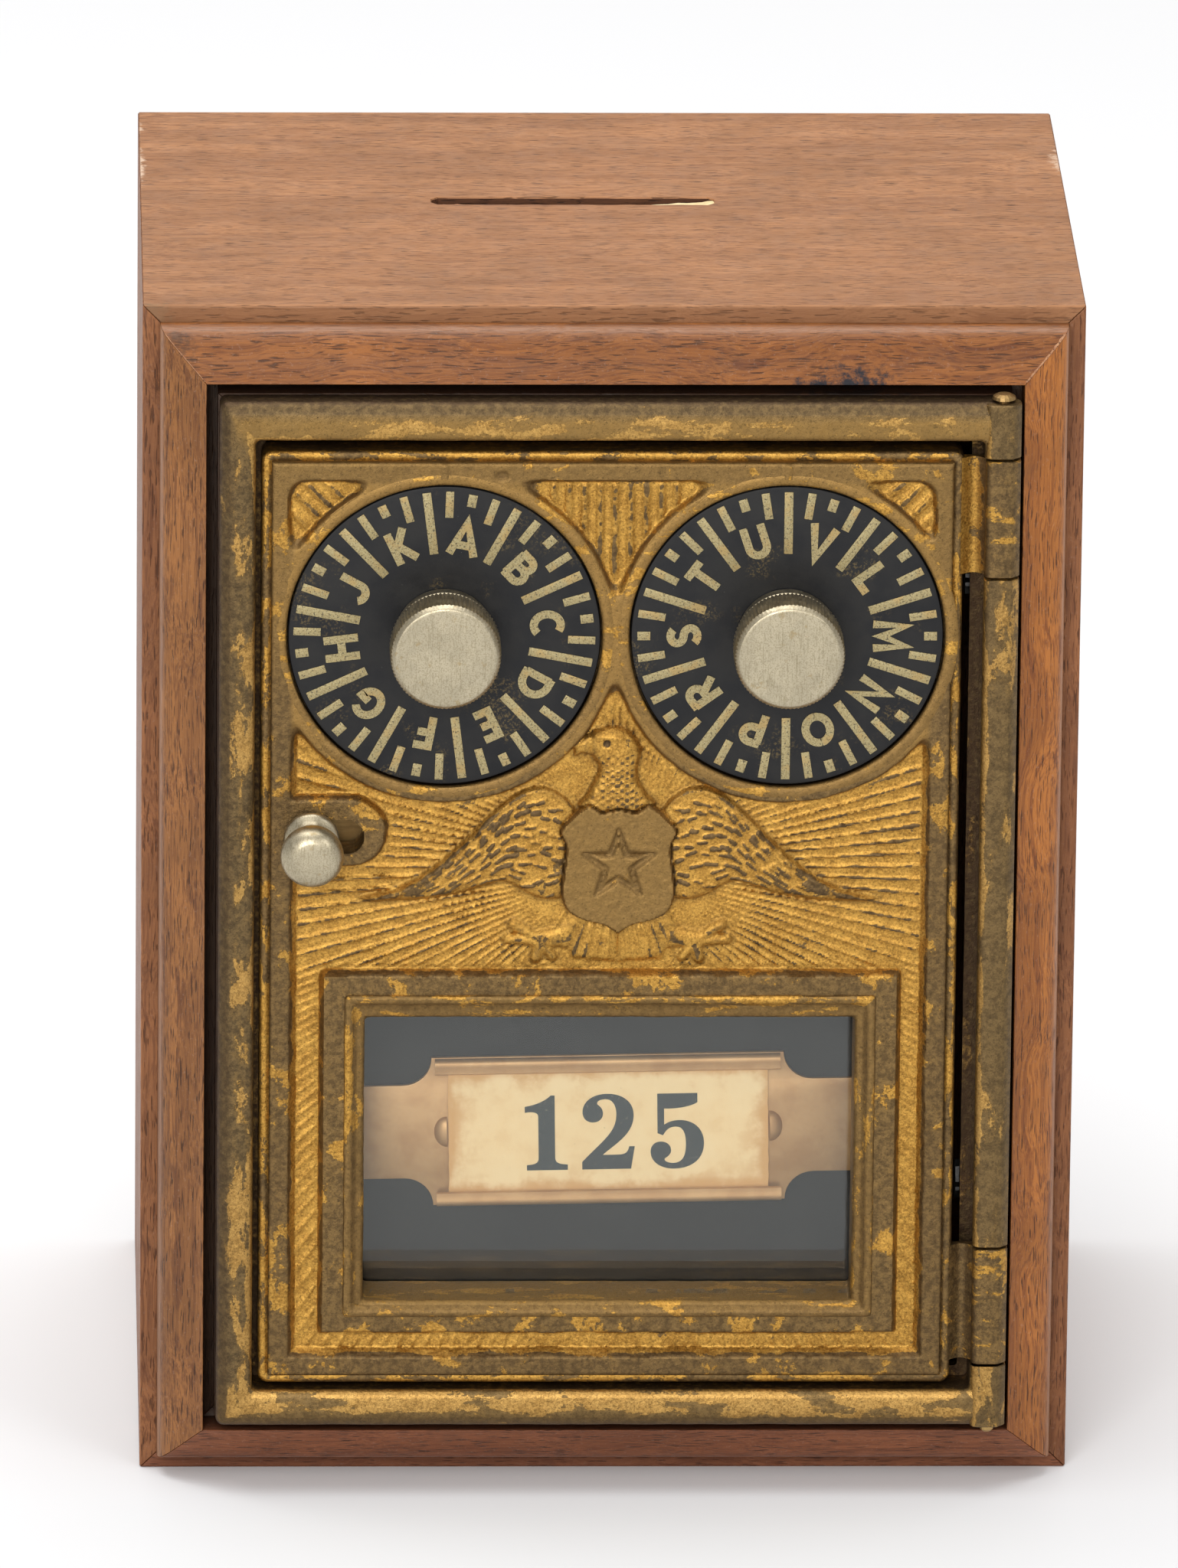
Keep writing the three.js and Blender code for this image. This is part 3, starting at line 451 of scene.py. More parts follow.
def wood(name, axis, shift, light, dark, gloss, spots=(), age=0.5, front=0.0, painted=False):
    """Oiled walnut whose grain runs along an axis. front paints shade on the face in the case's front plane, and
    painted lets the mesh say where to paint a pale sheen and where to paint shade deep in a groove."""
    look = Look(name, shift)
    along = 0.03
    stretch = tuple(along if letter == axis else 1.0 for letter in "xyz")
    wander = look.blots(26, 2, 0.5, 0.2, 0.8, -2.0, 2.0)
    drift = look.node("ShaderNodeCombineXYZ", {0: wander, 1: wander, 2: wander}).outputs[0]
    grain = look.vector("ADD", look.coords(stretch), drift)
    fibres = look.noise(0.26, 3, 0.65, at=grain)
    pores = look.noise(0.21, 1.0, 0.5, at=look.coords(tuple(s * 3.0 if s == along else s for s in stretch)))
    pore = look.fit(pores, 0.6, 0.68)
    middle = between(light, dark, 0.4)
    look.colour = look.mix(look.fit(look.noise(4.5, 3, 0.55, 0.4, at=grain), 0.36, 0.64), middle, light)
    look.cover(look.fit(look.noise(1.1, 4, 0.65, 0.3, at=grain), 0.5, 0.68, 0, 0.75), scaled(dark, 1.3))
    look.cover(look.blots(14, 3, 0.55, 0.42, 0.66, 0, 0.4), scaled(light, 0.55))
    look.cover(look.fit(fibres, 0.44, 0.64, 0.0, 0.6), scaled(dark, 1.3))
    look.cover(look.times(pore, 0.8), scaled(dark, 0.45))
    look.cover(look.times(look.blots(0.4, 3, 0.7, 0.58, 0.7), 0.16 * age), (0.62, 0.5, 0.42))
    look.cover(look.blots(6, 5, 0.65, 0.54, 0.74, 0, age * 0.55), (0.075, 0.038, 0.026))
    for low, high, tint, strength in spots:
        look.cover(spot_mask(look, low, high, strength), tint)
    # painted shade: the faces in the case's front plane are darkened
    if front:
        look.cover(look.fit(look.depth(), FRONT + 0.08, FRONT + 0.3, front, 0), scaled(dark, 0.7))
    if painted:
        # painted highlight: a pale sheen where the mesh asks for it
        painted_sheen = look.times(look.attribute("painted_sheen"), look.fit(fibres, 0.3, 0.7, 0.3, 0.7))
        look.cover(painted_sheen, (0.42, 0.25, 0.17))
        # painted shade: near black deep in a groove, where the mesh asks for it
        look.cover(look.attribute("deep"), (0.012, 0.006, 0.004))
    height = look.times(look.minus(fibres, look.times(pore, 1.3)), 0.03)
    rough = look.blots(3, 4, 0.6, 0.3, 0.7, gloss, gloss + 0.16)
    return look.finish(height, 0.9, Roughness=rough, Specular_IOR_Level=0.32, Specular_Tint=(1.0, 0.88, 0.76))


def spot_mask(look, low, high, strength):
    """A ragged patch that fills the box from low to high."""
    low, high = np.array(low, float), np.array(high, float)
    centre = (low + high) / 2 + [0, FRONT, 0]
    place = look.coords(shift=(0, 0, 0))
    offset = look.vector("ADD", place, tuple(-centre))
    length = look.vector("LENGTH", look.vector("MULTIPLY", offset, tuple(2 / (high - low))), output="Value")
    ragged = look.plus(length, look.fit(look.noise(1.6, 5, 0.7, at=place), 0.25, 0.75, -0.6, 0.6))
    return look.fit(ragged, 0.3, 1.05, strength, 0)


GOLD = (0.5, 0.275, 0.055)
DEEP_GOLD = (0.36, 0.185, 0.034)
TAN = (0.31, 0.178, 0.05)
BARE = (0.19, 0.117, 0.044)
DARK_BARE = (0.1, 0.062, 0.026)


def brass(name, shift, keep=None, grime_and_shade=None, grain=0.5, tints=(GOLD, DEEP_GOLD, BARE, DARK_BARE), patch=4.2,
          streaks=False):
    """Bare brown brass under what is left of a bronze-powder lacquer. keep is the share of lacquer left, as a
    number or from the mesh, and grime is how much it is darkened, by dirt and by painted shade in recesses, the
    same way. The mesh may also paint haze, an even tan film, and patch is the size of the lacquer's patches in
    mm. With streaks, the patches run along X, or along Z where the mesh paints upright."""
    look = Look(name, shift)
    gold, deep, bare, dark = tints
    haze = look.attribute("haze") if keep is None else 0.0
    keep = look.attribute("keep") if keep is None else keep
    grime_and_shade = look.attribute("grime_and_shade") if grime_and_shade is None else grime_and_shade
    if streaks:
        level, rising = (look.noise(patch, 8, 0.62, 0.3, at=look.coords(s)) for s in ((0.36, 1, 1), (1, 1, 0.36)))
        inputs = {0: look.attribute("upright"), 2: level, 3: rising}
        patches = look.node("ShaderNodeMix", inputs, data_type="FLOAT").outputs[0]
    else:
        patches = look.noise(patch, 8, 0.6, 0.3)
    level = look.plus(look.times(patches, 1.7), look.times(look.noise(0.45, 2, 0.6), 0.22))
    level = look.plus(look.minus(level, 0.71), look.times(keep, 0.62))
    mask = look.fit(level, 0.55, 0.564)
    film = look.fit(level, 0.4, 0.55, 0.0, 0.3)
    tone = look.noise(1.7, 4, 0.65)
    speck = look.noise(0.3, 3, 0.8)
    look.colour = look.mix(look.fit(tone, 0.36, 0.66), deep, gold)
    look.cover(look.fit(speck, 0.5, 0.66, 0.0, 0.65), scaled(gold, 1.35))
    look.cover(look.fit(speck, 0.5, 0.34, 0.0, 0.7), scaled(deep, 0.42))
    lacquer = look.colour
    look.colour = look.mix(look.blots(0.9, 5, 0.7, 0.38, 0.62), dark, bare)
    look.cover(look.times(film, look.fit(speck, 0.36, 0.6, 0.35, 1.0)), TAN)
    look.cover(look.times(haze, look.fit(tone, 0.3, 0.7, 0.8, 1.0)), TAN)
    look.cover(look.fit(speck, 0.56, 0.68, 0.0, 0.4), scaled(bare, 1.6))
    look.cover(look.fit(speck, 0.46, 0.34, 0.0, 0.5), scaled(dark, 0.45))
    look.cover(mask, lacquer)
    # dirt and painted shade, as much as the mesh or the caller asks for
    look.cover(look.times(grime_and_shade, look.blots(0.8, 4, 0.7, 0.3, 0.58, 0.4, 1.0)), (0.06, 0.034, 0.017))
    pits = look.dots(0.85, 0.11, 1.0, 3.1, 0.55, 0.62)
    look.cover(look.times(pits, 0.8), (0.035, 0.024, 0.015))
    rough = look.plus(look.fit(mask, 0.0, 1.0, 0.45, 0.38), look.fit(speck, 0.3, 0.7, -0.06, 0.08))
    sand = look.times(look.noise(0.2, 3, 0.7), 0.1 * grain)
    cast = look.times(look.noise(0.7, 4, 0.65), 0.2 * grain)
    height = look.plus(look.plus(sand, cast), look.times(mask, 0.02))
    height = look.minus(height, look.times(pits, 0.06))
    return look.finish(height, 0.9, Roughness=rough, Metallic=0.85)


def copper_sheet(name):
    """The warm tan sheet brass of the card holder, evenly tarnished."""
    look = Look(name)
    fine = look.noise(0.25, 3, 0.7)
    look.colour = look.mix(look.blots(4.5, 3, 0.55, 0.35, 0.65), (0.5, 0.272, 0.118), (0.6, 0.352, 0.165))
    look.cover(look.fit(fine, 0.5, 0.7, 0, 0.3), (0.42, 0.24, 0.12))
    look.cover(look.blots(0.7, 3, 0.7, 0.68, 0.73, 0, 0.5), (0.75, 0.42, 0.16))
    return look.finish(look.times(fine, 0.012), 0.7, Roughness=0.48, Metallic=0.6)


def sheet_brass(name, light=(0.46, 0.3, 0.115), dark=(0.26, 0.16, 0.065)):
    """Unlacquered sheet and bar brass from inside the lock: cloudy tarnish, fine drawn lines and dark spots."""
    look = Look(name)
    cloud = look.noise(9, 5, 0.6)
    lines = look.noise(0.5, 3, 0.6, at=look.coords((0.12, 1, 1.6)))
    look.colour = look.mix(look.fit(cloud, 0.36, 0.66), light, dark)
    look.cover(look.fit(lines, 0.48, 0.66, 0, 0.4), scaled(dark, 0.7))
    look.cover(look.blots(1.6, 4, 0.7, 0.62, 0.72, 0, 0.75), (0.09, 0.052, 0.026))
    height = look.times(look.plus(look.noise(0.3, 3, 0.7), lines), 0.012)
    return look.finish(height, 0.8, Roughness=look.fit(cloud, 0.35, 0.65, 0.34, 0.5), Metallic=1.0)


def nickel(name, tint=(0.49, 0.425, 0.3), worn=(0.26, 0.215, 0.13), rough=0.32):
    """Old nickel plate with fine scratches, brown specks and a soft film."""
    look = Look(name)
    fine = look.noise(0.16, 2, 0.6)
    lines = look.noise(0.45, 3, 0.7, at=look.coords((2.2, 1, 0.18)))
    look.colour = look.mix(look.blots(3.2, 4, 0.6, 0.35, 0.7), tint, scaled(tint, 0.86))
    look.cover(look.fit(fine, 0.46, 0.66, 0, 0.6), worn)
    look.cover(look.times(look.blots(1.5, 4, 0.7, 0.6, 0.68), 0.6), (0.34, 0.25, 0.12))
    look.cover(look.fit(lines, 0.52, 0.64, 0, 0.5), worn)
    shine = look.blots(1.2, 4, 0.6, 0.3, 0.7, rough, rough + 0.16)
    return look.finish(look.times(look.plus(fine, lines), 0.01), 0.8, Roughness=shine, Metallic=1.0)


def enamel(name, shift):
    """Black enamel on a dial: dusty, with faint brassy wear."""
    look = Look(name, shift)
    cloud = look.noise(5, 4, 0.6)
    look.colour = look.mix(look.fit(cloud, 0.35, 0.65), (0.006, 0.006, 0.007), (0.013, 0.0122, 0.0115))
    rub = look.times(look.blots(6, 3, 0.6, 0.56, 0.7), look.blots(0.3, 3, 0.7, 0.5, 0.62))
    look.cover(look.times(rub, 0.5), (0.16, 0.11, 0.04))
    look.cover(look.times(look.dots(0.9, 0.06, 1.0, 2.1, 0.56, 0.6), 0.5), (0.3, 0.29, 0.26))
    height = look.times(look.noise(0.35, 3, 0.6), 0.02)
    return look.finish(height, 0.7, Roughness=look.fit(cloud, 0.3, 0.7, 0.42, 0.56), Specular_IOR_Level=0.28)


def dial_marks(name, shift):
    """The pale speckled metal of a dial's marks."""
    look = Look(name, shift)
    fine = look.noise(0.2, 3, 0.7)
    look.colour = look.mix(look.fit(fine, 0.35, 0.65), (0.4, 0.335, 0.175), (0.28, 0.215, 0.095))
    look.cover(look.blots(2.6, 4, 0.6, 0.5, 0.66, 0, 0.7), (0.4, 0.27, 0.1))
    look.cover(look.blots(0.3, 2, 0.8, 0.56, 0.62, 0, 0.8), (0.05, 0.042, 0.03))
    return look.finish(look.times(fine, 0.02), 0.8, Roughness=0.5, Metallic=0.55)


def steel(name, tint=(0.42, 0.41, 0.39), rough=0.36):
    look = Look(name)
    fine = look.noise(0.25, 3, 0.65)
    look.colour = look.mix(look.blots(2.2, 4, 0.6, 0.4, 0.7), tint, scaled(tint, 0.6))
    look.cover(look.fit(fine, 0.58, 0.68, 0, 0.6), (0.16, 0.1, 0.06))
    shine = look.fit(fine, 0.3, 0.7, rough, rough + 0.2)
    return look.finish(look.times(fine, 0.015), 0.8, Roughness=shine, Metallic=1.0)


def card_stock(name):
    """Cream card, tanned towards its edges. The mesh gives how near an edge each point is."""
    look = Look(name)
    blur = look.noise(3.2, 4, 0.6)
    edge = look.plus(look.attribute("edge"), look.fit(blur, 0.3, 0.7, -0.28, 0.28))
    look.colour = look.mix(look.fit(blur, 0.3, 0.7), (0.93, 0.69, 0.4), (0.9, 0.64, 0.35))
    look.cover(look.fit(edge, 0.1, 1.0, 0, 0.85), (0.66, 0.34, 0.12))
    look.cover(look.blots(0.5, 2, 0.6, 0.71, 0.75, 0, 0.5), (0.4, 0.25, 0.12))
    return look.finish(look.times(look.noise(0.18, 3, 0.6), 0.02), 0.6, Roughness=0.85)


def ink(name):
    look = Look(name)
    wear = look.blots(0.35, 4, 0.7, 0.58, 0.72, 0, 0.55)
    look.colour = look.mix(wear, (0.032, 0.04, 0.045), (0.3, 0.27, 0.2))
    return look.finish(look.times(wear, -0.01), 0.5, Roughness=0.7)


# painted shade: the flat black of the sheet behind the window stands in for the dark inside of the shut box
def black_shade_board(name):
    look = Look(name)
    look.colour = look.mix(look.blots(7, 3, 0.5, 0.35, 0.65), (0.006, 0.006, 0.007), (0.011, 0.0105, 0.011))
    look.cover(look.blots(0.5, 3, 0.7, 0.66, 0.72, 0, 0.35), (0.07, 0.066, 0.06))
    return look.finish(look.times(look.noise(0.25, 2), 0.01), 0.5, Roughness=0.8)


def window_glass(name):
    """A pane: clear, with what the surroundings throw back off it, and a little dust."""
    look = Look(name)
    look.nodes.remove(look.shader)
    clear = look.node("ShaderNodeBsdfTransparent", {"Color": (0.97, 0.985, 0.975)}).outputs[0]
    shine = look.node("ShaderNodeBsdfGlossy", {"Color": (1.0, 1.0, 0.98), "Roughness": 0.0}).outputs[0]
    specks = look.node("ShaderNodeBsdfDiffuse", {"Color": (0.6, 0.58, 0.53)}).outputs[0]
    share = look.node("ShaderNodeFresnel", {"IOR": 1.5}).outputs[0]
    pane = look.node("ShaderNodeMixShader", {0: share, 1: clear, 2: shine}).outputs[0]
    dust = look.dots(1.7, 0.045, 0.35, 5, 0.5, 0.56)
    pane = look.node("ShaderNodeMixShader", {0: dust, 1: pane, 2: specks}).outputs[0]
    look.links.new(pane, look.nodes["Material Output"].inputs["Surface"])
    return look.material


def floor_paper(name):
    look = Look(name)
    # painted shade: darker towards the front
    look.colour = look.mix(look.fit(look.depth(), -120, 60), (0.74, 0.745, 0.755), (0.9, 0.9, 0.905))
    return look.finish(Roughness=0.9, Specular_IOR_Level=0.1)


# ------------------------------------------------------------------ the wooden case

SEAM = 0.03
FILLET = 0.45
BOARD = 8.0
REBATE_WIDTH = 3.0
REBATE_DEPTH = CASE_BACK - 6.0
PALE_EDGE = (0.75, 0.55, 0.4)
BOARD_TONE = ((0.36, 0.145, 0.055), (0.1, 0.033, 0.014))
TOP_SPOTS = [
    ((-56, 50, 142.5), (-54.2, 66, 145), PALE_EDGE, 0.8),
    ((-56, 70, 142.5), (-54.4, 78, 145), PALE_EDGE, 0.7),
    ((-56, -1, 141), (-51, 1.4, 144.5), (0.24, 0.15, 0.08), 0.6),
    ((53.8, 56, 142), (56, 66, 145), PALE_EDGE, 0.6),
]
# front gives each board painted shade on its faces in the front plane
BOARD_WOODS = {
    "top": wood("walnut_top", "x", (3.1, 7.7, 1.3), (0.44, 0.205, 0.09), (0.2, 0.084, 0.036), 0.4, TOP_SPOTS, 0.3, 0.5),
    "left": wood("walnut_left", "z", (11.3, 2.9, 5.1), *BOARD_TONE, 0.4, front=0.35),
    "right": wood("walnut_right", "z", (1.3, 12.9, 8.1), *BOARD_TONE, 0.4, front=0.35),
    "bottom": wood("walnut_bottom", "x", (6.6, 3.2, 9.4), (0.28, 0.1, 0.045), (0.1, 0.03, 0.013), 0.42, front=0.35),
}


def mitred_strip(side, outer, profile):
    """A closed profile of (inwards, depth) points, swept along one side of a box with mitred ends."""
    left, right, bottom, top = outer
    rings = ([], [])
    for inwards, depth in profile:
        short = inwards + SEAM
        for ring, x, z in zip(rings, (left + short, right - short), (bottom + short, top - short)):
            places = {"top": (x, top - inwards), "bottom": (x, bottom + inwards),
                      "left": (left + inwards, z), "right": (right - inwards, z)}
            ring.append((places[side][0], depth, places[side][1]))
    return skin(rings)


board_profile = arc(FILLET, FILLET, FILLET, FILLET, 180, 270, 8)
board_profile += [(BOARD, 0), (BOARD, REBATE_DEPTH), (REBATE_WIDTH, REBATE_DEPTH)]
board_profile += [(REBATE_WIDTH, CASE_BACK), (0.5, CASE_BACK), (0.15, CASE_BACK - 0.15), (0, CASE_BACK - 0.5)]
boards = {}
for side, material in BOARD_WOODS.items():
    shell = mitred_strip(side, CASE, board_profile)
    boards[side] = make_piece(side + "_board", "case", "walnut", material, [shell], ["case_" + side])

SLOT_LEFT, SLOT_RIGHT = -20.5, 13.1
SLOT_FRONT, SLOT_BACK = 42.1, 45.3
SLOT_GAP = 0.08  # between the slot's edge and its lining's inner face


def slot_outline():
    """The coin slot seen from above as [x, depth], with slightly ragged long edges and narrower ends."""
    points = []
    count = 40
    for edge, direction in ((SLOT_FRONT, 1), (SLOT_BACK, -1)):
        for k in range(count + 1):
            t = k / count if direction > 0 else 1 - k / count
            x = SLOT_LEFT + (SLOT_RIGHT - SLOT_LEFT) * t
            coarse = 0.16 * noise.noise(Vector((x * 0.55, edge * 3.1, 0)))
            fine = 0.08 * noise.noise(Vector((x * 2.3, edge, 5)))
            pull = 0.9 * max(0, 1 - min(t, 1 - t) * count) ** 2
            points.append((x, edge + coarse + fine + direction * pull))
    return points


carve(boards["top"], prism(slot_outline(), CASE[3] - BOARD - 1, CASE[3] + 1, "z"))
for board in boards.values():
    soften(board, 0.16)

# painted shade: the very dark wood of the sleeve in the coin slot
SLOT_SHADE_WOOD = wood("slot_shade_wood", "x", (0, 9, 0), (0.12, 0.045, 0.02), (0.045, 0.016, 0.008), 0.6, age=0.0)
PALE_WOOD = wood("split_wood", "x", (0, 0, 0), (0.95, 0.8, 0.48), (0.7, 0.5, 0.25), 0.6, age=0.0)
FILLER_WOOD = wood("mitre_filling", "z", (2, 4, 0), (0.42, 0.22, 0.11), (0.16, 0.06, 0.03), 0.6, age=0.0)
TORN_WOOD = wood("torn_wood", "x", (0, 4, 0), (0.45, 0.2, 0.1), (0.2, 0.08, 0.04), 0.6, age=0.0)


def slot_shade_sleeve():
    """A thin dark sleeve on the slot's walls, from just above the board's underside to just below its top: painted
    shade inside the slot.
    """
    outer = np.array(slot_outline())
    middle = np.array([(SLOT_LEFT + SLOT_RIGHT) / 2, (SLOT_FRONT + SLOT_BACK) / 2])
    half = np.array([(SLOT_RIGHT - SLOT_LEFT) / 2, (SLOT_BACK - SLOT_FRONT) / 2])
    inner = middle + (outer - middle) * (1 - SLOT_GAP / half)
    low, high = CASE[3] - BOARD + 0.05, CASE[3] - 0.22
    loops = ((outer, low), (outer, high), (inner, high), (inner, low))
    return skin([[(x, d, z) for x, d in loop] for loop, z in loops], closed=True)


def sliver(name, material, edge):
    """A splinter that leans out from the slot's front edge, from [x, reach, drop] along it."""
    rings = []
    top = CASE[3] - 0.06
    for x, reach, drop in edge:
        rings.append([
            (x, SLOT_FRONT - 0.4, top), (x, SLOT_FRONT + reach * 0.5, top - drop * 0.3),
            (x, SLOT_FRONT + reach, top - drop), (x, SLOT_FRONT + reach * 0.9, top - drop - 0.22),
            (x, SLOT_FRONT - 0.4, top - 1.4),
        ])
    make_piece(name, "case", "walnut", material, [skin(rings)])


make_piece("slot_shade_sleeve", "case", "walnut", SLOT_SHADE_WOOD, [slot_shade_sleeve()])
sliver("slot_splinter", PALE_WOOD, [
    (5.0, 0.1, 0.1), (6.3, 0.6, 0.12), (7.6, 1.0, 0.18), (8.8, 1.6, 0.2), (9.9, 1.8, 0.28), (10.8, 1.7, 0.2),
    (11.7, 2.2, 0.3), (12.5, 2.7, 0.25), (13.05, 2.4, 0.2), (13.25, 1.0, 0.1),
])
sliver("slot_tear", TORN_WOOD, [
    (-19.9, 0.3, 0.2), (-19.0, 1.0, 0.3), (-18.2, 0.5, 0.3), (-17.4, 1.2, 0.25), (-16.6, 0.4, 0.2), (-14.5, 0.1, 0.2),
])

MOULDING = grown(CASE, -2.0)
MOULDING_WALL = 5.42  # from the outer edge to the wall of the groove at the inner edge
# The moulding's section as (inwards, depth): its face, then the groove, the ledge and the flat back
moulding_profile = [
    (0.0, -0.05), (0.01, -0.7), (0.05, -1.4), (0.13, -2.0), (0.27, -2.6), (0.46, -3.1), (0.75, -3.6), (1.15, -4.05),
    (1.55, -4.48), (2.0, -4.85), (2.5, -5.26), (3.0, -5.62), (3.5, -5.97), (4.0, -6.33), (4.5, -6.7), (4.9, -7.03),
    (5.15, -7.25), (5.3, -7.42), (5.38, -7.45), (MOULDING_WALL, -7.3), (MOULDING_WALL, -2.5), (6.75, -2.5),
    (6.75, -6.4), (8.4, -6.4), (8.4, -0.05),
]
MOULD = ((0.295, 0.104, 0.025), (0.07, 0.02, 0.008))
LEFT_MOULD = ((0.29, 0.12, 0.038), (0.07, 0.024, 0.011))
RIGHT_MOULD = ((0.38, 0.135, 0.03), (0.1, 0.028, 0.01))
# the bottom strip's darker tones are painted shade on a face that turns down
SHADED_LOW_MOULD = ((0.235, 0.08, 0.034), (0.08, 0.025, 0.012))
STAINS = [
    ((19.5, -10, 132.6), (34.5, -3, 138.4), (0.008, 0.01, 0.017), 1.0),
    ((-53, -9, 137), (-49, 0, 143), (0.03, 0.02, 0.015), 0.6),
]
MOULDING_WOODS = {
    "top": wood("moulding_top_wood", "x", (2.4, 5.5, 7.3), *MOULD, 0.34, STAINS, painted=True),
    "left": wood("moulding_left_wood", "z", (8.4, 4.5, 0.3), *LEFT_MOULD, 0.34, painted=True),
    "right": wood("moulding_right_wood", "z", (4.4, 0.5, 3.3), *RIGHT_MOULD, 0.34, painted=True),
    "bottom": wood("moulding_bottom_wood", "x", (5.4, 8.5, 4.3), *SHADED_LOW_MOULD, 0.38, painted=True),
}


def moulding_paint(x, d, z):
    inwards = box_inside(x, z, MOULDING)
    # painted highlight: a pale sheen on the outer shoulder
    painted_sheen = smoothstep(0.55, 0.2, inwards) * smoothstep(-0.6, -2, d)
    # painted shade: the groove beside the frame is made near black
    deep = smoothstep(MOULDING_WALL - 0.04, MOULDING_WALL, inwards) * smoothstep(-7.4, -6.9, d)
    return {"painted_sheen": painted_sheen, "deep": deep * 0.9}


for side, material in MOULDING_WOODS.items():
    shell = mitred_strip(side, MOULDING, moulding_profile)
    strip = make_piece("moulding_" + side + "_strip", "case", "dark_walnut", material, [shell], ["moulding_" + side])
    soften(strip, 0.14)
    put_paint(strip.data, moulding_paint)


def mitre_filler(name, side, width, seed):
    """Old filler smeared along one upper mitre of the moulding, on the top strip's side of the joint."""
    face = [(i, d) for i, d in moulding_profile if 0.4 < i < 5.3 and d < -3]
    steps = 5
    rings = []
    for start, end in zip(face, face[1:]):
        for k in range(steps):
            i, d = between(start, end, k / steps)
            x = MOULDING[1] - i if side > 0 else MOULDING[0] + i
            reach = width * (0.5 + 0.9 * abs(noise.noise(Vector((i * 1.7, seed, 0))))) + 0.04
            corners = ((0.02, -0.03), (reach, -0.03), (reach, 0.3), (0.02, 0.3))
            rings.append([(x - side * aside, d + back, MOULDING[3] - i) for aside, back in corners])
    make_piece(name, "case", "walnut", FILLER_WOOD, [skin(rings)])


mitre_filler("right_mitre_filler", 1, 0.42, 1.0)
mitre_filler("left_mitre_filler", -1, 0.16, 5.0)
BACK_WOOD = wood("back_panel_wood", "z", (7.4, 1.5, 2.3), (0.3, 0.14, 0.07), (0.12, 0.045, 0.02), 0.5)
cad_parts["case_back"].data.materials[0] = BACK_WOOD

# ------------------------------------------------------------------ the brass frame

FRAME_OUT = (FRAME_BOX[0], 46.9, FRAME_BOX[4], FRAME_BOX[5])
THROAT = (-41.85, 42.9, 13.3, 130.5)
THROAT_WALL = 1.25
FRAME_BACK = -6.45
THROAT_BACK = 8.0
HINGE_X, HINGE_D = 45.1, -8.7
LOWER_GAP = (16.45, 31.35)  # between the frame's knuckles, for the door's
UPPER_GAP = (113.75, 128.5)

frame_layers = layers_of(FRAME_OUT, [
    (0, 0.9, FRAME_BACK), (0, 0.9, -9.0), (-0.05, 0.9, -9.45), (-0.35, 0.9, -9.9), (-0.8, 0.8, -10.22),
    (-1.15, 0.7, -10.42), (-1.4, 0.6, -10.5),
])
frame_layers.append((between(FRAME_OUT, THROAT, 0.5), 0.5, -10.48))
frame_layers += layers_of(THROAT, [
    (0.95, 0.7, -10.46), (0.5, 0.7, -10.36), (0.2, 0.7, -10.12), (0.04, 0.7, -9.75), (0, 0.7, -9.3), (0, 0.7, -4.7),
    (-1.2, 0.5, -4.7), (-1.2, 0.5, -3.2), (0, 0.7, -3.2), (0, 0.7, THROAT_BACK), (THROAT_WALL, 0.9, THROAT_BACK),
    (THROAT_WALL, 0.9, FRAME_BACK),
])


def barrel(low, high):
    """A length of the hinge barrel, softened at both ends: soft inner corner, chamfered outer one, round behind."""
    half, front, corner, chamfer = 2.05, 2.0, 0.9, 1.0
    section = arc(corner - half, corner - front, corner, corner, 180, 270, 6)
    section += [(half - chamfer - 0.1, -front), (half - chamfer + 0.08, -front + 0.06)]
    section += [(half - 0.06, -front + chamfer - 0.08), (half, -front + chamfer + 0.1)]
    section += arc(0, 0, half, half, 0, 180, 12)
    rings = []
    for z, share in ((low, 0.94), (low + 0.12, 1.0), (high - 0.12, 1.0), (high, 0.94)):
        rings.append([(HINGE_X + x * share, HINGE_D + d * share, z) for x, d in section])
    return skin(rings)


def frame_paint(x, d, z):
    inner = box_inside(x, z, THROAT)
    outer = box_inside(x, z, FRAME_OUT)
    low_bar = smoothstep(THROAT[2] + 0.6, THROAT[2] - 0.6, z)
    top_bar = smoothstep(THROAT[3] - 0.6, THROAT[3] + 0.6, z)
    left_bar = x < THROAT[0]
    keep = 0.3 + 0.1 * smoothstep(1.4, 2.2, outer)
    keep += 0.21 * low_bar * smoothstep(0.9, 1.5, outer) + 0.02 * top_bar
    keep -= 0.3 * smoothstep(1.6, 1.1, outer) * (1 - 0.4 * low_bar)
    keep -= 0.3 * smoothstep(40.5, 43, x)
    keep += 0.07 * left_bar * smoothstep(1.8, 2.6, outer)
    keep += 0.12 * smoothstep(-10.4, -10.0, d) * smoothstep(-0.9, -0.2, inner) * (z > 15)
    haze = 0.8 * top_bar * smoothstep(1.2, 1.7, outer) + 0.25 * low_bar
    # painted shade: darker on the faces behind the front, down the throat, and along the outer edge; the left bar is
    # darker too
    grime_and_shade = 0.98 * smoothstep(-9.75, -9.2, d) + 0.35 * smoothstep(1.6, 1.2, outer) + 0.16 * left_bar
    return {"keep": np.clip(keep, 0, 1), "grime_and_shade": np.clip(grime_and_shade, 0, 1), "haze": haze,
            "upright": upright(x, z, FRAME_OUT)}


def knuckle_paint(x, d, z):
    web = smoothstep(44.0, 43.4, x)
    keep = 0.26 + 0.08 * smoothstep(45.6, 46.5, x) + 0.4 * web
    return {"keep": keep, "grime_and_shade": 0.15 + 0.1 * web, "haze": 0.1, "upright": 1}


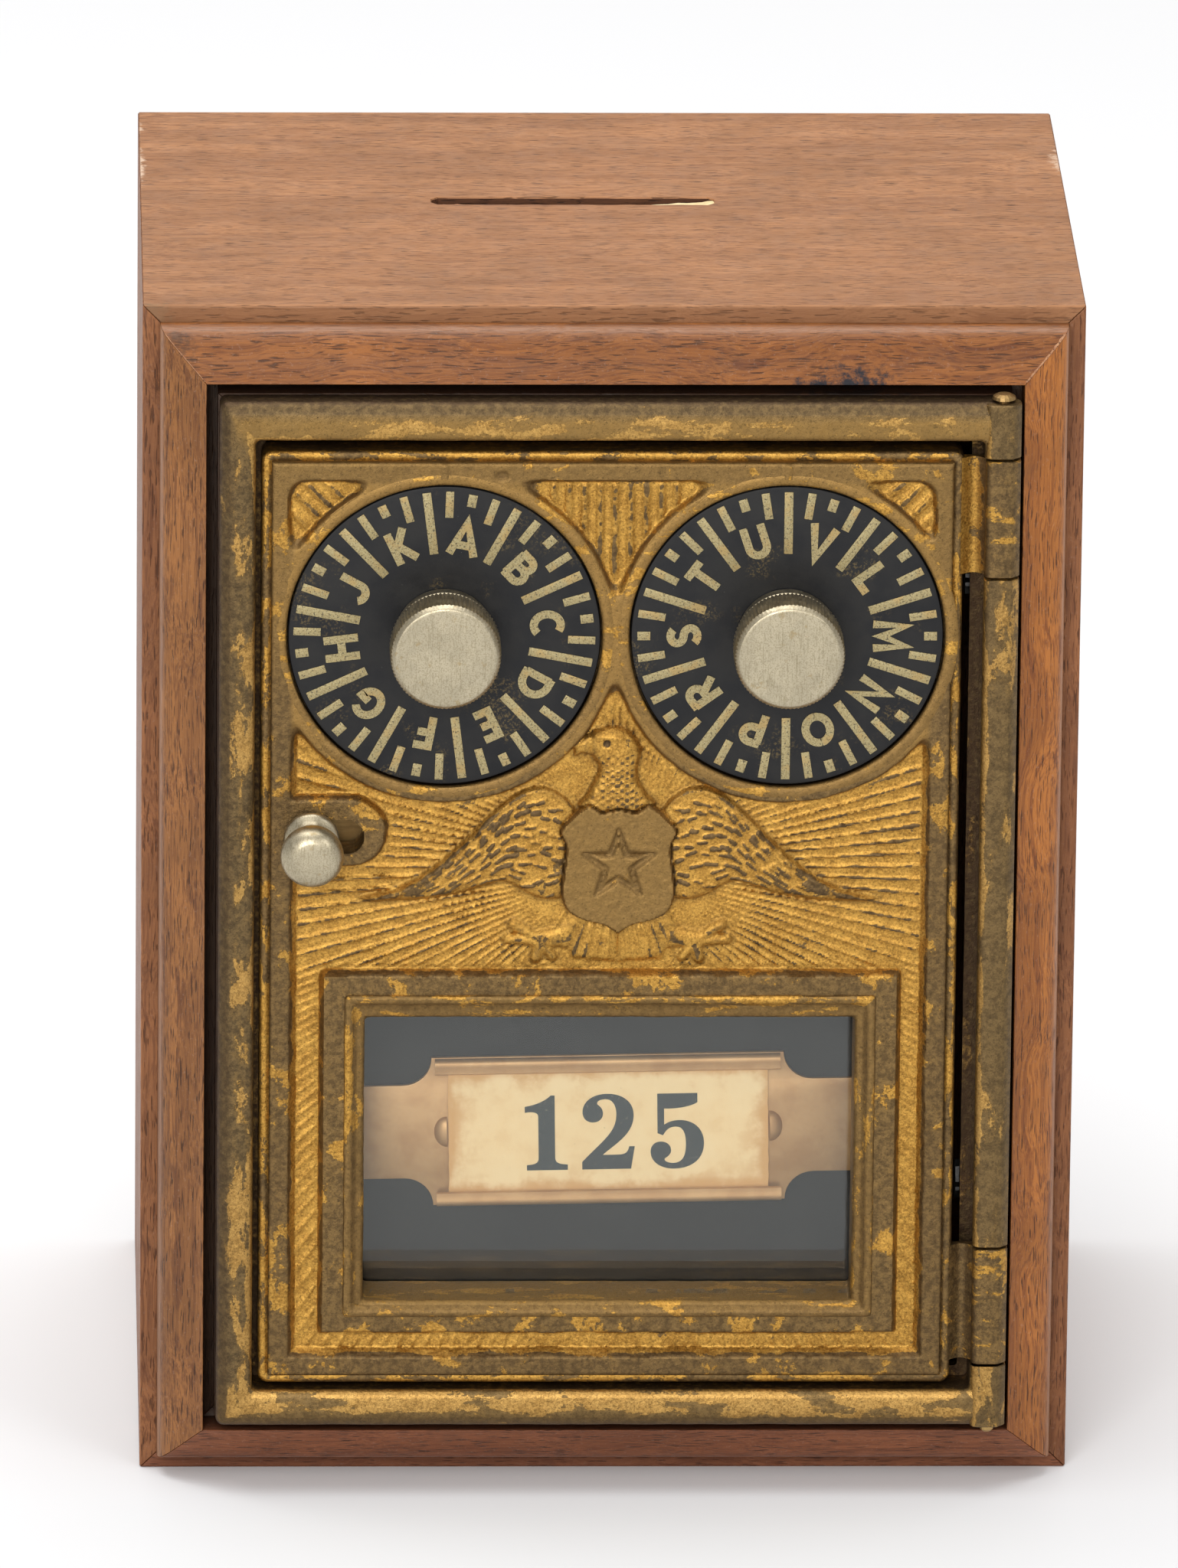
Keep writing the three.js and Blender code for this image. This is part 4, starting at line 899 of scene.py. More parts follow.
FRAME_TINTS = ((0.47, 0.275, 0.078), (0.36, 0.2, 0.052), (0.175, 0.114, 0.047), (0.09, 0.06, 0.027))
FRAME_BRASS = brass("frame_brass", (0, 0, 0), grain=0.45, tints=FRAME_TINTS, patch=2.9, streaks=True)
frame_ring = make_piece("frame_casting", "case", "brass", FRAME_BRASS, [swept_ring(frame_layers, 60)], ["door_frame"],
                        wobble=(0.05, 2.6))
bay = [(41.9, -12), (52, -12), (52, -5), (41.9, -5)]
carve(frame_ring, prism(bay, LOWER_GAP[0], UPPER_GAP[1], "z"))
shade(frame_ring.data, 40)
put_paint(frame_ring.data, frame_paint)

web = [(43.2, HINGE_D), (46.88, HINGE_D), (46.88, FRAME_BACK), (43.2, FRAME_BACK)]
knuckle_shells = [
    barrel(FRAME_OUT[2] + 0.05, LOWER_GAP[0]), barrel(LOWER_GAP[1], UPPER_GAP[0]),
    barrel(UPPER_GAP[1], FRAME_OUT[3] - 0.05), prism(web, LOWER_GAP[1] + 0.01, UPPER_GAP[0] - 0.01, "z"),
]
make_piece("frame_knuckles", "case", "brass", FRAME_BRASS, knuckle_shells, ["door_frame"], sharp=40,
           paint=knuckle_paint)

# ------------------------------------------------------------------ the door's relief


def lattice(x, z, cell, seed):
    """Smooth noise from 0 to 1 over a plane, with blobs of about cell mm."""
    size = 128
    values = np.random.default_rng(seed).random((size, size))
    u = x / cell + 1000
    v = z / cell + 1000
    i, j = np.floor(u).astype(int), np.floor(v).astype(int)
    s, t = u - i, v - j
    s, t = s * s * (3 - 2 * s), t * t * (3 - 2 * t)
    low = values[i % size, j % size] * (1 - s) + values[(i + 1) % size, j % size] * s
    high = values[i % size, (j + 1) % size] * (1 - s) + values[(i + 1) % size, (j + 1) % size] * s
    return low * (1 - t) + high * t


def outline_distance(x, z, outline):
    """Signed distance to a closed outline, positive inside."""
    best = np.full(x.shape, 1e9)
    inside = np.zeros(x.shape, bool)
    for (ax, az), (bx, bz) in zip(outline, outline[1:] + outline[:1]):
        ex, ez = bx - ax, bz - az
        t = np.clip(((x - ax) * ex + (z - az) * ez) / (ex * ex + ez * ez + 1e-12), 0, 1)
        best = np.minimum(best, np.hypot(x - ax - t * ex, z - az - t * ez))
        inside ^= ((az > z) != (bz > z)) & (x < ax + (z - az) * ex / (ez if ez else 1e-12))
    return np.where(inside, best, -best)


def smooth_min(a, b, k):
    h = np.clip(0.5 + 0.5 * (b - a) / k, 0, 1)
    return b * (1 - h) + a * h - k * h * (1 - h)


def capsules(x, z, strokes):
    """Distance inside the nearest of some round-ended strokes, given as (from, to, radius)."""
    best = np.full(x.shape, -9.0)
    for a, b, radius in strokes:
        ex, ez = b[0] - a[0], b[1] - a[1]
        t = np.clip(((x - a[0]) * ex + (z - a[1]) * ez) / (ex * ex + ez * ez), 0, 1)
        best = np.maximum(best, radius - np.hypot(x - a[0] - t * ex, z - a[1] - t * ez))
    return best


def mound(distance, height, slope):
    """A soft-edged raised shape: height well inside, nothing outside."""
    return height * (1 - np.exp(-np.maximum(distance, 0) / slope))


def dark_line(distance, width):
    return np.exp(-np.abs(distance) / width)


MIDDLE = 0.8  # the bird's centre line
RAY_CENTRE = 78.0
STAR_CENTRE = 78.5
PAD = (-30.6, LATCH_Z + 0.55, 4.0)  # the raised pad round the latch's slot: right end's x and z, and radius

# One wing's upper and lower edge, out from the centre line
WING_TOP = smooth_curve([
    (4.6, 84.2), (6.2, 86.6), (8.8, 88.0), (11.6, 87.4), (14.8, 84.9), (18.4, 81.2), (22.2, 77.8), (26.4, 75.4),
    (30.6, 74.3),
])
WING_LOW = smooth_curve([
    (5.0, 74.4), (8.0, 73.9), (10.6, 74.6), (13.2, 76.1), (16.0, 75.5), (19.5, 74.5), (23.5, 73.9), (27.4, 73.7),
    (30.6, 73.9),
])
NECK = smooth_curve([
    (-3.9, 85.4), (-3.1, 87.0), (-2.2, 88.8), (-1.7, 90.3), (-2.3, 91.4), (-2.9, 92.3), (-3.1, 93.6), (-2.4, 94.7),
    (-1.2, 95.2), (0.2, 95.4), (1.8, 94.9), (2.9, 93.7), (3.4, 92.2), (3.1, 90.6), (3.1, 89.0), (3.9, 87.4),
    (5.0, 85.6), (0.6, 84.0),
], closed=True)
BEAK = smooth_curve([(-2.4, 94.3), (-3.7, 94.0), (-4.6, 93.0), (-4.4, 91.6), (-3.6, 92.0), (-2.4, 91.9)], closed=True)
TAIL = [(0, 71.5), (5.2, 71.5), (6.4, 69.5), (5.4, 66.6), (0, 66.2)]
half_shield = smooth_curve([
    (3.5, 86.0), (5.4, 84.6), (6.9, 82.6), (6.2, 80.6), (6.5, 77.6), (6.7, 75.0), (6.1, 72.9), (4.2, 71.6),
    (1.6, 70.9), (0, 69.8),
], steps=4)
SHIELD = [(MIDDLE - x, z) for x, z in half_shield[::-1]] + [(MIDDLE - 2.0, 85.0), (MIDDLE, 85.5), (MIDDLE + 2.0, 85.0)]
SHIELD += [(MIDDLE + x, z) for x, z in half_shield[:-1]]


def star(radius):
    points = []
    for k in range(10):
        reach = radius if k % 2 == 0 else radius * 0.42
        angle = math.radians(90 + 36 * k)
        points.append((MIDDLE + reach * math.cos(angle), STAR_CENTRE + reach * math.sin(angle)))
    return points


def feather_marks():
    """Short raised strokes over one wing, in rows that follow its upper edge, as (from, to, radius)."""

    def on_wing(t, across):
        ends = []
        for curve in (WING_TOP, WING_LOW):
            place = t * (len(curve) - 1)
            i = min(int(place), len(curve) - 2)
            ends.append(between(curve[i], curve[i + 1], place - i))
        return between(*ends, across)

    marks = []
    draw = np.random.default_rng(11)
    rows = [(0.15, 19, 0.8), (0.26, 18, 0.8), (0.37, 17, 0.9), (0.48, 16, 1.0), (0.59, 15, 1.1), (0.7, 14, 1.3),
            (0.81, 13, 1.4), (0.92, 12, 1.5)]
    for share, count, length in rows:
        for k in range(count):
            t = (k + 0.5 + draw.uniform(-0.25, 0.25)) / count
            if t < 0.08 and share < 0.4:
                continue
            across = share + draw.uniform(-0.03, 0.03)
            here = on_wing(t, across)
            ahead = on_wing(min(1, t + 0.03), across)
            sway = 0.12 + 0.5 * max(0, 0.35 - t) / 0.35
            angle = math.atan2(ahead[1] - here[1], ahead[0] - here[0]) - 0.4 * (1 - t) + draw.uniform(-sway, sway)
            reach = length * (0.7 + 0.9 * t) * draw.uniform(0.8, 1.2)
            end = (here[0] + reach * math.cos(angle), here[1] + reach * math.sin(angle))
            marks.append((here, end, 0.18 + 0.12 * draw.random()))
    return marks


class Relief:
    """The casting's front over a grid of places. level is its depth in mm, bird is how far the bird stands out,
    worn and bird_worn are how far the lacquer is rubbed off, and the rest are distances and shares."""

    def __init__(self, x, z):
        self.x, self.z = x, z
        self.mirror = np.abs(x - MIDDLE)
        self.edge_shake = 0.22 * self.uneven(2.2, 2) + 0.16 * self.uneven(0.7, 3)
        self.grit = self.noise(0.45, 13)
        self.ground()
        self.rays()
        self.ribs()
        self.wings()
        self.head()
        self.feet()
        self.tail()
        self.shield()
        self.place_bird()
        self.marks_and_grain()

    def noise(self, cell, seed):
        return lattice(self.x, self.z, cell, seed)

    def uneven(self, cell, seed):
        return self.noise(cell, seed) - 0.5

    def wear_bird(self, amount):
        self.bird_worn = np.maximum(self.bird_worn, amount)

    def ground(self):
        """The sunk field and panels, with the flat border, collars and latch pad left between them."""
        x, z = self.x, self.z
        to_left, to_right = (np.hypot(x - dial_x, z - DIAL_Z) for dial_x, _, _ in DIALS.values())
        self.to_dial = np.minimum(to_left, to_right)
        beside_dials = smooth_min(to_left, to_right, 2.4) - COLLAR
        field = smooth_min(box_inside(x, z, (*FIELD_BOX[:3], 200)), beside_dials, 1.6)
        field = np.minimum(field, DIAL_Z - z)
        gap = -box_inside(x, z, WINDOW_BORDER)
        half_width, half_height = WINDOW_BORDER[1], (WINDOW_BORDER[3] - WINDOW_BORDER[2]) / 2
        middle = (WINDOW_BORDER[2] + WINDOW_BORDER[3]) / 2
        rounded = np.hypot(np.maximum(np.abs(x) - half_width, 0), np.maximum(np.abs(z - middle) - half_height, 0))
        field = smooth_min(field, np.where(gap > 0, np.maximum(gap, rounded * 0.99), gap), 0.5)
        pad = PAD[2] - np.hypot(np.maximum(x - PAD[0], 0), z - PAD[1])
        self.field = smooth_min(field, -pad, 0.5)
        sides = np.minimum(x - FIELD_BOX[0], FIELD_BOX[1] - x) + 0.4
        panels = smooth_min(smooth_min(sides, FIELD_BOX[3] + 0.2 - z, 2.6), beside_dials + 0.3, 2.4)
        self.panels = np.minimum(panels, z - DIAL_Z)
        self.in_panel = self.panels > self.field
        self.sunk = np.maximum(self.field, self.panels) + self.edge_shake * 0.6
        self.depth_share = smoothstep(-0.12, 0.5, self.sunk)
        self.inward = box_inside(x, z, FIELD_BOX)
        step = smoothstep(0.5, 0.85, self.inward + 0.3 * self.edge_shake + np.where(self.in_panel, 9, 0))
        floor = np.where(self.in_panel, FLAT + 1.05, FIELD) - 0.55 * (1 - step)
        level = FLAT + 0.05 * self.uneven(3.0, 1)
        self.level = level + (floor - level) * self.depth_share

    def rays(self):
        """Fine ridges that fan out from the bird, twice as many below it as above."""
        dx, dz = self.x - MIDDLE, self.z - RAY_CENTRE
        angle = np.arctan2(dz, dx)
        upper = smoothstep(65.5, 68, self.z)
        rays = np.cos(angle * 132) * upper + np.cos(angle * 264) * (1 - upper) + 0.35 * self.uneven(1.3, 4)
        calm = smoothstep(8, 17, np.hypot(dx, dz)) * smoothstep(0.5, 1.3, self.field)
        low_strip = smoothstep(66, 64, self.z)
        in_field = self.depth_share * (self.field > self.panels)
        height = 0.22 * smoothstep(0.3, 1.0, rays) * calm * (0.6 + 0.8 * self.noise(4.0, 5)) * (1 - 0.4 * low_strip)
        self.ray_height = height * in_field
        self.level = self.level - self.ray_height
        worn = smoothstep(0.66, 1.0, rays) * calm * in_field * (0.2 + 0.6 * self.grit + 0.5 * self.noise(5, 6))
        self.worn = 0.72 * worn * (1 - 0.95 * low_strip)

    def ribs(self):
        """Straight ribs in the sunk panels round the dials, slanted in the two corners."""
        x, z = self.x, self.z
        across = np.where(x > MIDDLE + 11, (z - x) / math.sqrt(2), x)
        across = np.where(x < MIDDLE - 11, (x + z) / math.sqrt(2), across)
        ribs = np.cos(2 * math.pi * across / 1.8 + 0.8 * self.uneven(2.0, 7))
        inside = self.depth_share * self.in_panel * smoothstep(0.2, 1.0, self.panels)
        self.level = self.level - 0.26 * smoothstep(-0.5, 0.8, ribs) * inside
        self.worn = self.worn + 0.5 * smoothstep(0.3, 0.95, ribs) * inside * (0.5 + 0.8 * self.grit)

    def wings(self):
        self.wing = outline_distance(self.mirror, self.z, WING_TOP + WING_LOW[::-1])
        self.bird = mound(self.wing + 0.15 * self.edge_shake, 0.72, 0.42)
        rim = [(x * 0.985, z - 0.55) for x, z in WING_TOP[4:]]
        rim = capsules(self.mirror, self.z, [(a, b, 0.42) for a, b in zip(rim, rim[1:])])
        self.bird = self.bird + 0.22 * smoothstep(-0.1, 0.4, rim) * smoothstep(0, 0.3, self.wing)
        self.bird_worn = 0.4 * smoothstep(0.05, 0.35, rim)
        strokes = capsules(self.mirror, self.z, feather_marks()) + 0.12 * self.uneven(0.8, 8)
        self.on_wing = smoothstep(0.2, 0.6, self.wing)
        self.bird = self.bird + 0.26 * smoothstep(-0.15, 0.22, strokes) * self.on_wing
        spare = 0.35 + 0.65 * smoothstep(30, 18, self.mirror)
        patchy = 0.45 + 0.5 * self.noise(2.4, 14)
        self.wear_bird(patchy * spare * smoothstep(-0.1, 0.16, strokes) * self.on_wing)

    def head(self):
        x, z = self.x, self.z
        self.neck = outline_distance(x, z, NECK)
        self.beak = outline_distance(x, z, BEAK)
        bust = np.maximum(mound(self.neck, 1.2, 0.42), mound(self.beak, 0.95, 0.22))
        brow = capsules(x, z, [((-2.0, 94.4), (0.9, 94.0), 0.36)])
        eye = 0.42 - np.hypot(x + 0.7, z - 93.4)
        bust = bust + 0.22 * smoothstep(-0.2, 0.3, brow) - 0.3 * smoothstep(-0.1, 0.15, eye)
        scale = np.cos(2 * math.pi * x / 1.15 + math.pi * (np.floor(z / 0.85) % 2)) * np.cos(2 * math.pi * z / 1.7)
        low_neck = smoothstep(0.3, 0.9, self.neck) * smoothstep(92.6, 91.4, z)
        self.wear_bird(0.85 * smoothstep(0.2, 0.6, scale + 0.8 * (self.grit - 0.5)) * low_neck)
        self.wear_bird(0.8 * smoothstep(-0.15, 0.1, eye))
        self.bird = np.maximum(self.bird, bust + 0.12 * scale * low_neck)

    def feet(self):
        self.foot = np.full(self.x.shape, -9.0)
        toes = [((12.2, 70.9), 0.75), ((12.9, 69.1), 0.7), ((9.6, 66.8), 0.75), ((7.6, 66.9), 0.65)]
        claw_strokes = [((6.0, 69.6), (9.2, 68.9), 1.25)] + [((9.0, 68.8), tip, radius) for tip, radius in toes]
        for side in (-1, 1):
            x = (self.x - MIDDLE) * side
            claw = capsules(x, self.z, claw_strokes)
            thigh = capsules(x, self.z, [((4.6, 72.0), (6.2, 69.4), 1.6)])
            self.bird = np.maximum(self.bird, mound(claw, 0.62, 0.32))
            self.bird = np.maximum(self.bird, mound(thigh, 0.6, 0.5))
            self.wear_bird(0.5 * smoothstep(0.3, 0.6, claw) * (self.noise(0.9, 12) > 0.55))
            self.foot = np.maximum(self.foot, claw)

    def tail(self):
        tail = outline_distance(self.mirror, self.z, TAIL)
        ribs = np.cos(2 * math.pi * np.arctan2(self.mirror, 82 - self.z) / 0.085)
        height = mound(tail, 0.42, 0.4) + 0.16 * smoothstep(0, 0.8, ribs) * smoothstep(0.2, 0.6, tail)
        self.wear_bird(0.6 * smoothstep(0.55, 0.9, ribs) * smoothstep(3, 4, self.mirror) * smoothstep(0.2, 0.5, tail))
        self.bird = np.maximum(self.bird, height)

    def shield(self):
        """A smooth shield over the bird's breast, engraved with a star."""
        self.shield_in = outline_distance(self.x, self.z, SHIELD)
        self.on_shield = smoothstep(-0.1, 0.2, self.shield_in)
        self.engraved = np.zeros(self.x.shape)
        plate = 1.3 * smoothstep(-0.05, 0.3, self.shield_in)
        for radius in (4.4, 3.35):
            from_edge = np.abs(outline_distance(self.x, self.z, star(radius)))
            groove = smoothstep(0.32, 0.12, from_edge) * (self.shield_in > 0.3)
            plate = plate - 0.3 * groove
            self.engraved = np.maximum(self.engraved, groove)
        self.bird = self.bird * (1 - self.on_shield) + plate * self.on_shield

    def place_bird(self):
        """Stands the bird on the field, where it covers the rays."""
        on_bird = smoothstep(0.05, 0.25, self.bird)
        self.level = self.level - self.bird * smoothstep(-0.2, 0.6, self.field) + self.ray_height * on_bird
        worn = self.worn * (1 - on_bird) + self.bird_worn * on_bird * (1 - self.on_shield)
        self.worn = np.maximum(worn, 0.95 * self.on_shield)

    def marks_and_grain(self):
        """The index bar over each dial, a pit beside them, the border's soft edge and the casting's grain."""
        x, z = self.x, self.z
        bars = capsules(x, z, [((dial[0] - 0.1, 125.4), (dial[0] - 0.1, 127.3), 0.38) for dial in DIALS.values()])
        self.on_bars = smoothstep(-0.05, 0.1, bars)
        pit = 0.55 - np.hypot((x + 13.2) / 1.4, z - 126.2)
        self.in_pit = smoothstep(-0.15, 0.2, pit)
        level = self.level - 0.14 * smoothstep(-0.08, 0.1, bars) + 0.25 * self.in_pit
        level = level + 0.22 * (1 - smoothstep(0, 0.35, box_inside(x, z, BORDER))) ** 2
        level = level + (0.05 * self.uneven(0.45, 9) + 0.035 * self.uneven(0.22, 10)) * (0.25 + 0.75 * self.depth_share)
        self.level = level + 0.06 * self.uneven(9, 11)

    def paint(self):
        """What is left of the lacquer, the dirt and painted shade in hollows, on walls and along outlines, and the tan
        film on the flat parts.
        """
        x, z = self.x, self.z
        sunk = self.depth_share
        high = 1 - sunk
        slope = 4 * sunk * high
        off_shield = 1 - self.on_shield
        top_plate = smoothstep(88, 94, z) * smoothstep(-0.3, 0.6, self.inward + 0.6 * self.edge_shake)
        keep = 0.98 * sunk * (1 - 0.6 * slope) + high * (0.27 + 0.1 * top_plate * (1 - smoothstep(0, 20, x)))
        keep = keep - high * 0.12 * smoothstep(22.5, 20.5, self.to_dial) * smoothstep(108, 98, z)
        keep = keep - self.worn * 1.2 + 0.3 * self.on_bars - 0.08 * self.on_wing * sunk
        lines = [
            dark_line(self.neck + 0.1, 0.2), dark_line(self.beak + 0.1, 0.18), 0.8 * dark_line(self.wing + 0.12, 0.22),
            0.7 * dark_line(self.foot + 0.1, 0.2),
        ]
        around = 0.5 * np.max(lines, axis=0) + 0.35 * dark_line(self.shield_in + 0.15, 0.3)
        # wall and slope are painted shade at the foot of the walls and on them; around darkens the outlines; worn parts
        # and the pit are dirty
        wall = np.exp(-np.maximum(self.sunk, 0) / 0.5) * sunk
        grime_and_shade = 0.12 * wall + 0.35 * slope + around * sunk + 0.45 * smoothstep(0.15, 0.6, self.worn) * off_shield
        grime_and_shade = grime_and_shade + 0.25 * self.in_pit + 0.15 * high * smoothstep(0.5, -0.3, self.inward)
        on_plate = 0.35 * smoothstep(0.3, 0.1, self.shield_in) + 0.3 * self.engraved
        grime_and_shade = grime_and_shade * off_shield + self.on_shield * on_plate
        haze = high * (0.06 + 0.78 * top_plate + 0.5 * (1 - top_plate) * smoothstep(96, 112, z)) * off_shield
        haze = haze + 0.62 * self.on_shield
        return {"keep": np.clip(keep, 0, 1), "grime_and_shade": np.clip(grime_and_shade, 0, 0.85), "haze": haze}


GRID = 0.2


def door_relief():
    """The relief as a closed mesh: its front, its walls down to the plate, and a plain back."""
    xs = np.linspace(BORDER[0], BORDER[1], int((BORDER[1] - BORDER[0]) / GRID) + 1)
    zs = np.linspace(BORDER[2], BORDER[3], int((BORDER[3] - BORDER[2]) / GRID) + 1)
    x, z = np.meshgrid(xs, zs, indexing="ij")
    relief = Relief(x, z)
    hidden = box_inside(x, z, grown(WINDOW_BEAD, -0.5)) > 0
    for dial_x, dial_z, radius in DIALS.values():
        hidden |= np.hypot(x - dial_x, z - dial_z) < RECESS + 0.7
    hidden |= np.hypot(x - np.clip(x, -35.1, -31.1), z - LATCH_Z) < 2.3
    number = np.arange(x.size).reshape(x.shape)
    corners = [(slice(None, -1), slice(None, -1)), (slice(1, None), slice(None, -1)), (slice(1, None), slice(1, None)),
               (slice(None, -1), slice(1, None))]
    open_cell = ~np.logical_and.reduce([hidden[corner] for corner in corners])
    quads = np.column_stack([number[corner][open_cell] for corner in corners])
    used, quads = np.unique(quads, return_inverse=True)
    vertices = np.column_stack([x.ravel(), relief.level.ravel(), z.ravel()])[used]
    mesh = raw_mesh("door_relief", vertices, quads.reshape(-1, 4).tolist())
    put_values(mesh, {key: values.ravel()[used] for key, values in relief.paint().items()})
    work = bmesh.new()
    work.from_mesh(mesh)
    walls = bmesh.ops.extrude_edge_only(work, edges=[e for e in work.edges if e.is_boundary])
    for made in walls["geom"]:
        if isinstance(made, bmesh.types.BMVert):
            made.co.y = (FRONT + PLATE_FRONT) * MM
    bmesh.ops.triangle_fill(work, edges=[e for e in work.edges if e.is_boundary], use_beauty=True)
    bmesh.ops.recalc_face_normals(work, faces=work.faces)
    work.to_mesh(mesh)
    work.free()
    return mesh


RELIEF_BRASS = brass("relief_brass", (5, 3, 8))
dress(door_relief(), "door", RELIEF_BRASS, ["door_plate"], 50)

# ------------------------------------------------------------------ the rest of the door casting

DOOR_BRASS = brass("door_brass", (1, 9, 4), patch=2.4, streaks=True)
BACK_TINTS = (GOLD, DEEP_GOLD, (0.25, 0.16, 0.07), (0.15, 0.095, 0.042))
BACK_BRASS = brass("door_back_brass", (7, 2, 3), 0.0, 0.1, 0.9, BACK_TINTS)


def casting(name, material, shells, **settings):
    """A piece of the door's casting."""
    make_piece(name, "door", "lacquered_brass", material, shells, ["door_plate"], **settings)


rim_layers = layers_of(DOOR, [
    (0, 1.2, PLATE_BACK + 0.01), (0, 1.2, -8.5), (-0.08, 1.15, -8.8), (-0.3, 1.0, RIM + 0.02), (-0.6, 0.8, RIM - 0.05),
    (-0.95, 0.5, RIM), (-1.15, 0.3, RIM + 0.12), (-1.5, 0.2, RIM + 0.2), (-1.5, 0.2, PLATE_BACK + 0.01),
])


def rim_paint(x, d, z):
    keep = 0.54 - 0.14 * smoothstep(38.5, 39.6, x)
    # painted shade: darker on the faces behind the rim's front, down towards the frame
    grime_and_shade = 0.9 * smoothstep(-8.75, -8.2, d) + 0.3 * smoothstep(RIM + 0.06, RIM + 0.16, d)
    return {"keep": keep, "grime_and_shade": np.clip(grime_and_shade, 0, 0.95), "upright": upright(x, z, DOOR)}


casting("door_rim", DOOR_BRASS, [swept_ring(rim_layers, 70)], sharp=40, paint=rim_paint, wobble=(0.05, 1.3))

window_layers = layers_of(WINDOW_BEAD, [
    (0, 0.5, PLATE_FRONT + 0.1), (0, 0.5, -9.9), (-0.12, 0.45, -10.12), (-0.4, 0.4, BEAD - 0.02),
    (-0.75, 0.4, BEAD + 0.02), (-1.05, 0.4, -9.95), (-1.35, 0.4, -9.6),
])
window_layers += layers_of(WINDOW, [
    (0.75, 0.5, -9.45), (0.45, 0.5, -9.4), (0.15, 0.5, -9.2), (0, 0.5, -8.8), (0, 0.5, -2.32), (2.0, 0.5, -2.32),
    (2.0, 0.5, PLATE_FRONT + 0.1),
])


def window_paint(x, d, z):
    down = -box_inside(x, z, WINDOW)
    sill = smoothstep(24.6, 24.2, z) * smoothstep(0.3, 0.0, down)
    keep = 0.3 + 0.16 * smoothstep(1.9, 2.3, down) + 0.08 * smoothstep(24, 22, z)
    # painted shade: darker on the faces deeper into the window, less so on the sill, and a dark line round the bead
    grime_and_shade = (0.25 * smoothstep(-9.3, -7.5, d) + 0.6 * smoothstep(-6.5, -3, d)) * (1 - 0.9 * sill)
    grime_and_shade += 0.3 * smoothstep(0.35, 0.1, np.abs(down - 1.25))
    return {"keep": keep, "grime_and_shade": np.clip(grime_and_shade, 0, 0.8), "haze": 0.35 + 0.6 * sill,
            "upright": upright(x, z, WINDOW_BORDER)}


casting("window_frame", DOOR_BRASS, [swept_ring(window_layers, 50, 4)], sharp=42, paint=window_paint,
        wobble=(0.06, 1.6))


def collar_paint(x, d, z):
    low = smoothstep(112, 98, z)
    # painted shade: darker on the lip's faces deep in the gap round the dial
    return {"keep": 0.3 - 0.1 * low, "grime_and_shade": 0.85 * smoothstep(-9.6, -9.1, d), "haze": 0.8 - 0.25 * low}


COLLAR_PROFILE = [
    (0, -6.65), (0, -8.9), (-0.2, -9.1), (-0.22, -9.5), (-0.1, -9.72), (0.15, -9.82), (0.55, -9.84), (1.05, -9.8),
    (1.3, -9.66), (1.32, -6.95), (1.0, -6.65),
]
for side, (dial_x, dial_z, radius) in DIALS.items():
    collar = [(RECESS + out, depth) for out, depth in COLLAR_PROFILE]
    casting(side + "_collar", DOOR_BRASS, [lathe(collar, dial_x, dial_z, 128, True)], sharp=40, paint=collar_paint,
            wobble=(0.03, 3.0))

SPINDLE_BORE = 2.35
LATCH_SLOT = stadium(-37.2, -29.0, LATCH_Z, 2.1)
plate_outlines = [rounded_loop(grown(DOOR, -1.4), 0.4), rounded_loop(grown(WINDOW, 0.01), 0.5), LATCH_SLOT]
plate_outlines += [circle(dial_x, DIAL_Z, SPINDLE_BORE) for dial_x, _, _ in DIALS.values()]
casting("door_back_plate", BACK_BRASS, [flat_part(plate_outlines, PLATE_FRONT + 0.4, PLATE_BACK, 0.05)],
        wobble=(0.03, 4.0))


def slot_wall_paint(x, d, z):
    # painted shade: darker on the walls deeper in the latch slot
    return {"keep": 0.22, "grime_and_shade": 0.75 * smoothstep(-9.5, -8.4, d)}


slot_wall = [stadium(-37.6, -28.6, LATCH_Z, 2.5), LATCH_SLOT]
casting("latch_slot_wall", DOOR_BRASS, [flat_part(slot_wall, -9.72, -5.05, 0.12, 2)], paint=slot_wall_paint)

glazing_layers = layers_of(GLAZING, [(0, 1.0, PLATE_BACK - 0.1), (0, 1.0, 3.1), (-0.2, 0.9, 3.3)])
glazing_layers += layers_of(RABBET, [(0.2, 0.6, 3.3), (0, 0.6, 3.1), (0, 0.6, -2.3)])
glazing_layers += layers_of(WINDOW, [(1.9, 0.5, -2.3), (1.9, 0.5, PLATE_BACK - 0.1)])
EAR_PROFILE = [(0, -5.2), (2.6, -5.2), (2.6, 3.1), (2.4, 3.3), (0, 3.3)]
ears = [lathe(EAR_PROFILE, x, z, 32) for x in (-35.6, 35.6) for z in (28, 56)]
post_section = [(-5.2, -2.6), (-0.8, -2.6), (-0.6, -2.4), (-0.6, 2.4), (-0.8, 2.6), (-5.2, 2.6)]
spring_post = prism([(d, LATCH_Z + z) for d, z in post_section], 24.4, 27.0, "x")
casting("glazing_box", BACK_BRASS, [swept_ring(glazing_layers, 10, 4)] + ears + [spring_post], wobble=(0.03, 3.0),
        sharp=40)


def leaf(low, high):
    """The hollow strip that joins the door's edge to a knuckle."""
    section = [(40.2, -7.4)]
    for k in range(13):
        t = k / 12
        dip = math.sin(math.pi * min(1, t * 1.02)) ** 1.2
        section.append((40.3 + 3.2 * t, -9.0 - 0.35 * t**3 + 0.95 * dip))
    return prism(section + [(43.9, -9.0), (43.9, -7.4)], low, high, "z")


def door_knuckle_paint(x, d, z):
    return {"keep": 0.25 + 0.5 * smoothstep(43.0, 42.2, x) * smoothstep(80, 100, z),
            "grime_and_shade": 0.45 * smoothstep(41.6, 42.9, x) * smoothstep(43.9, 43.2, x)}


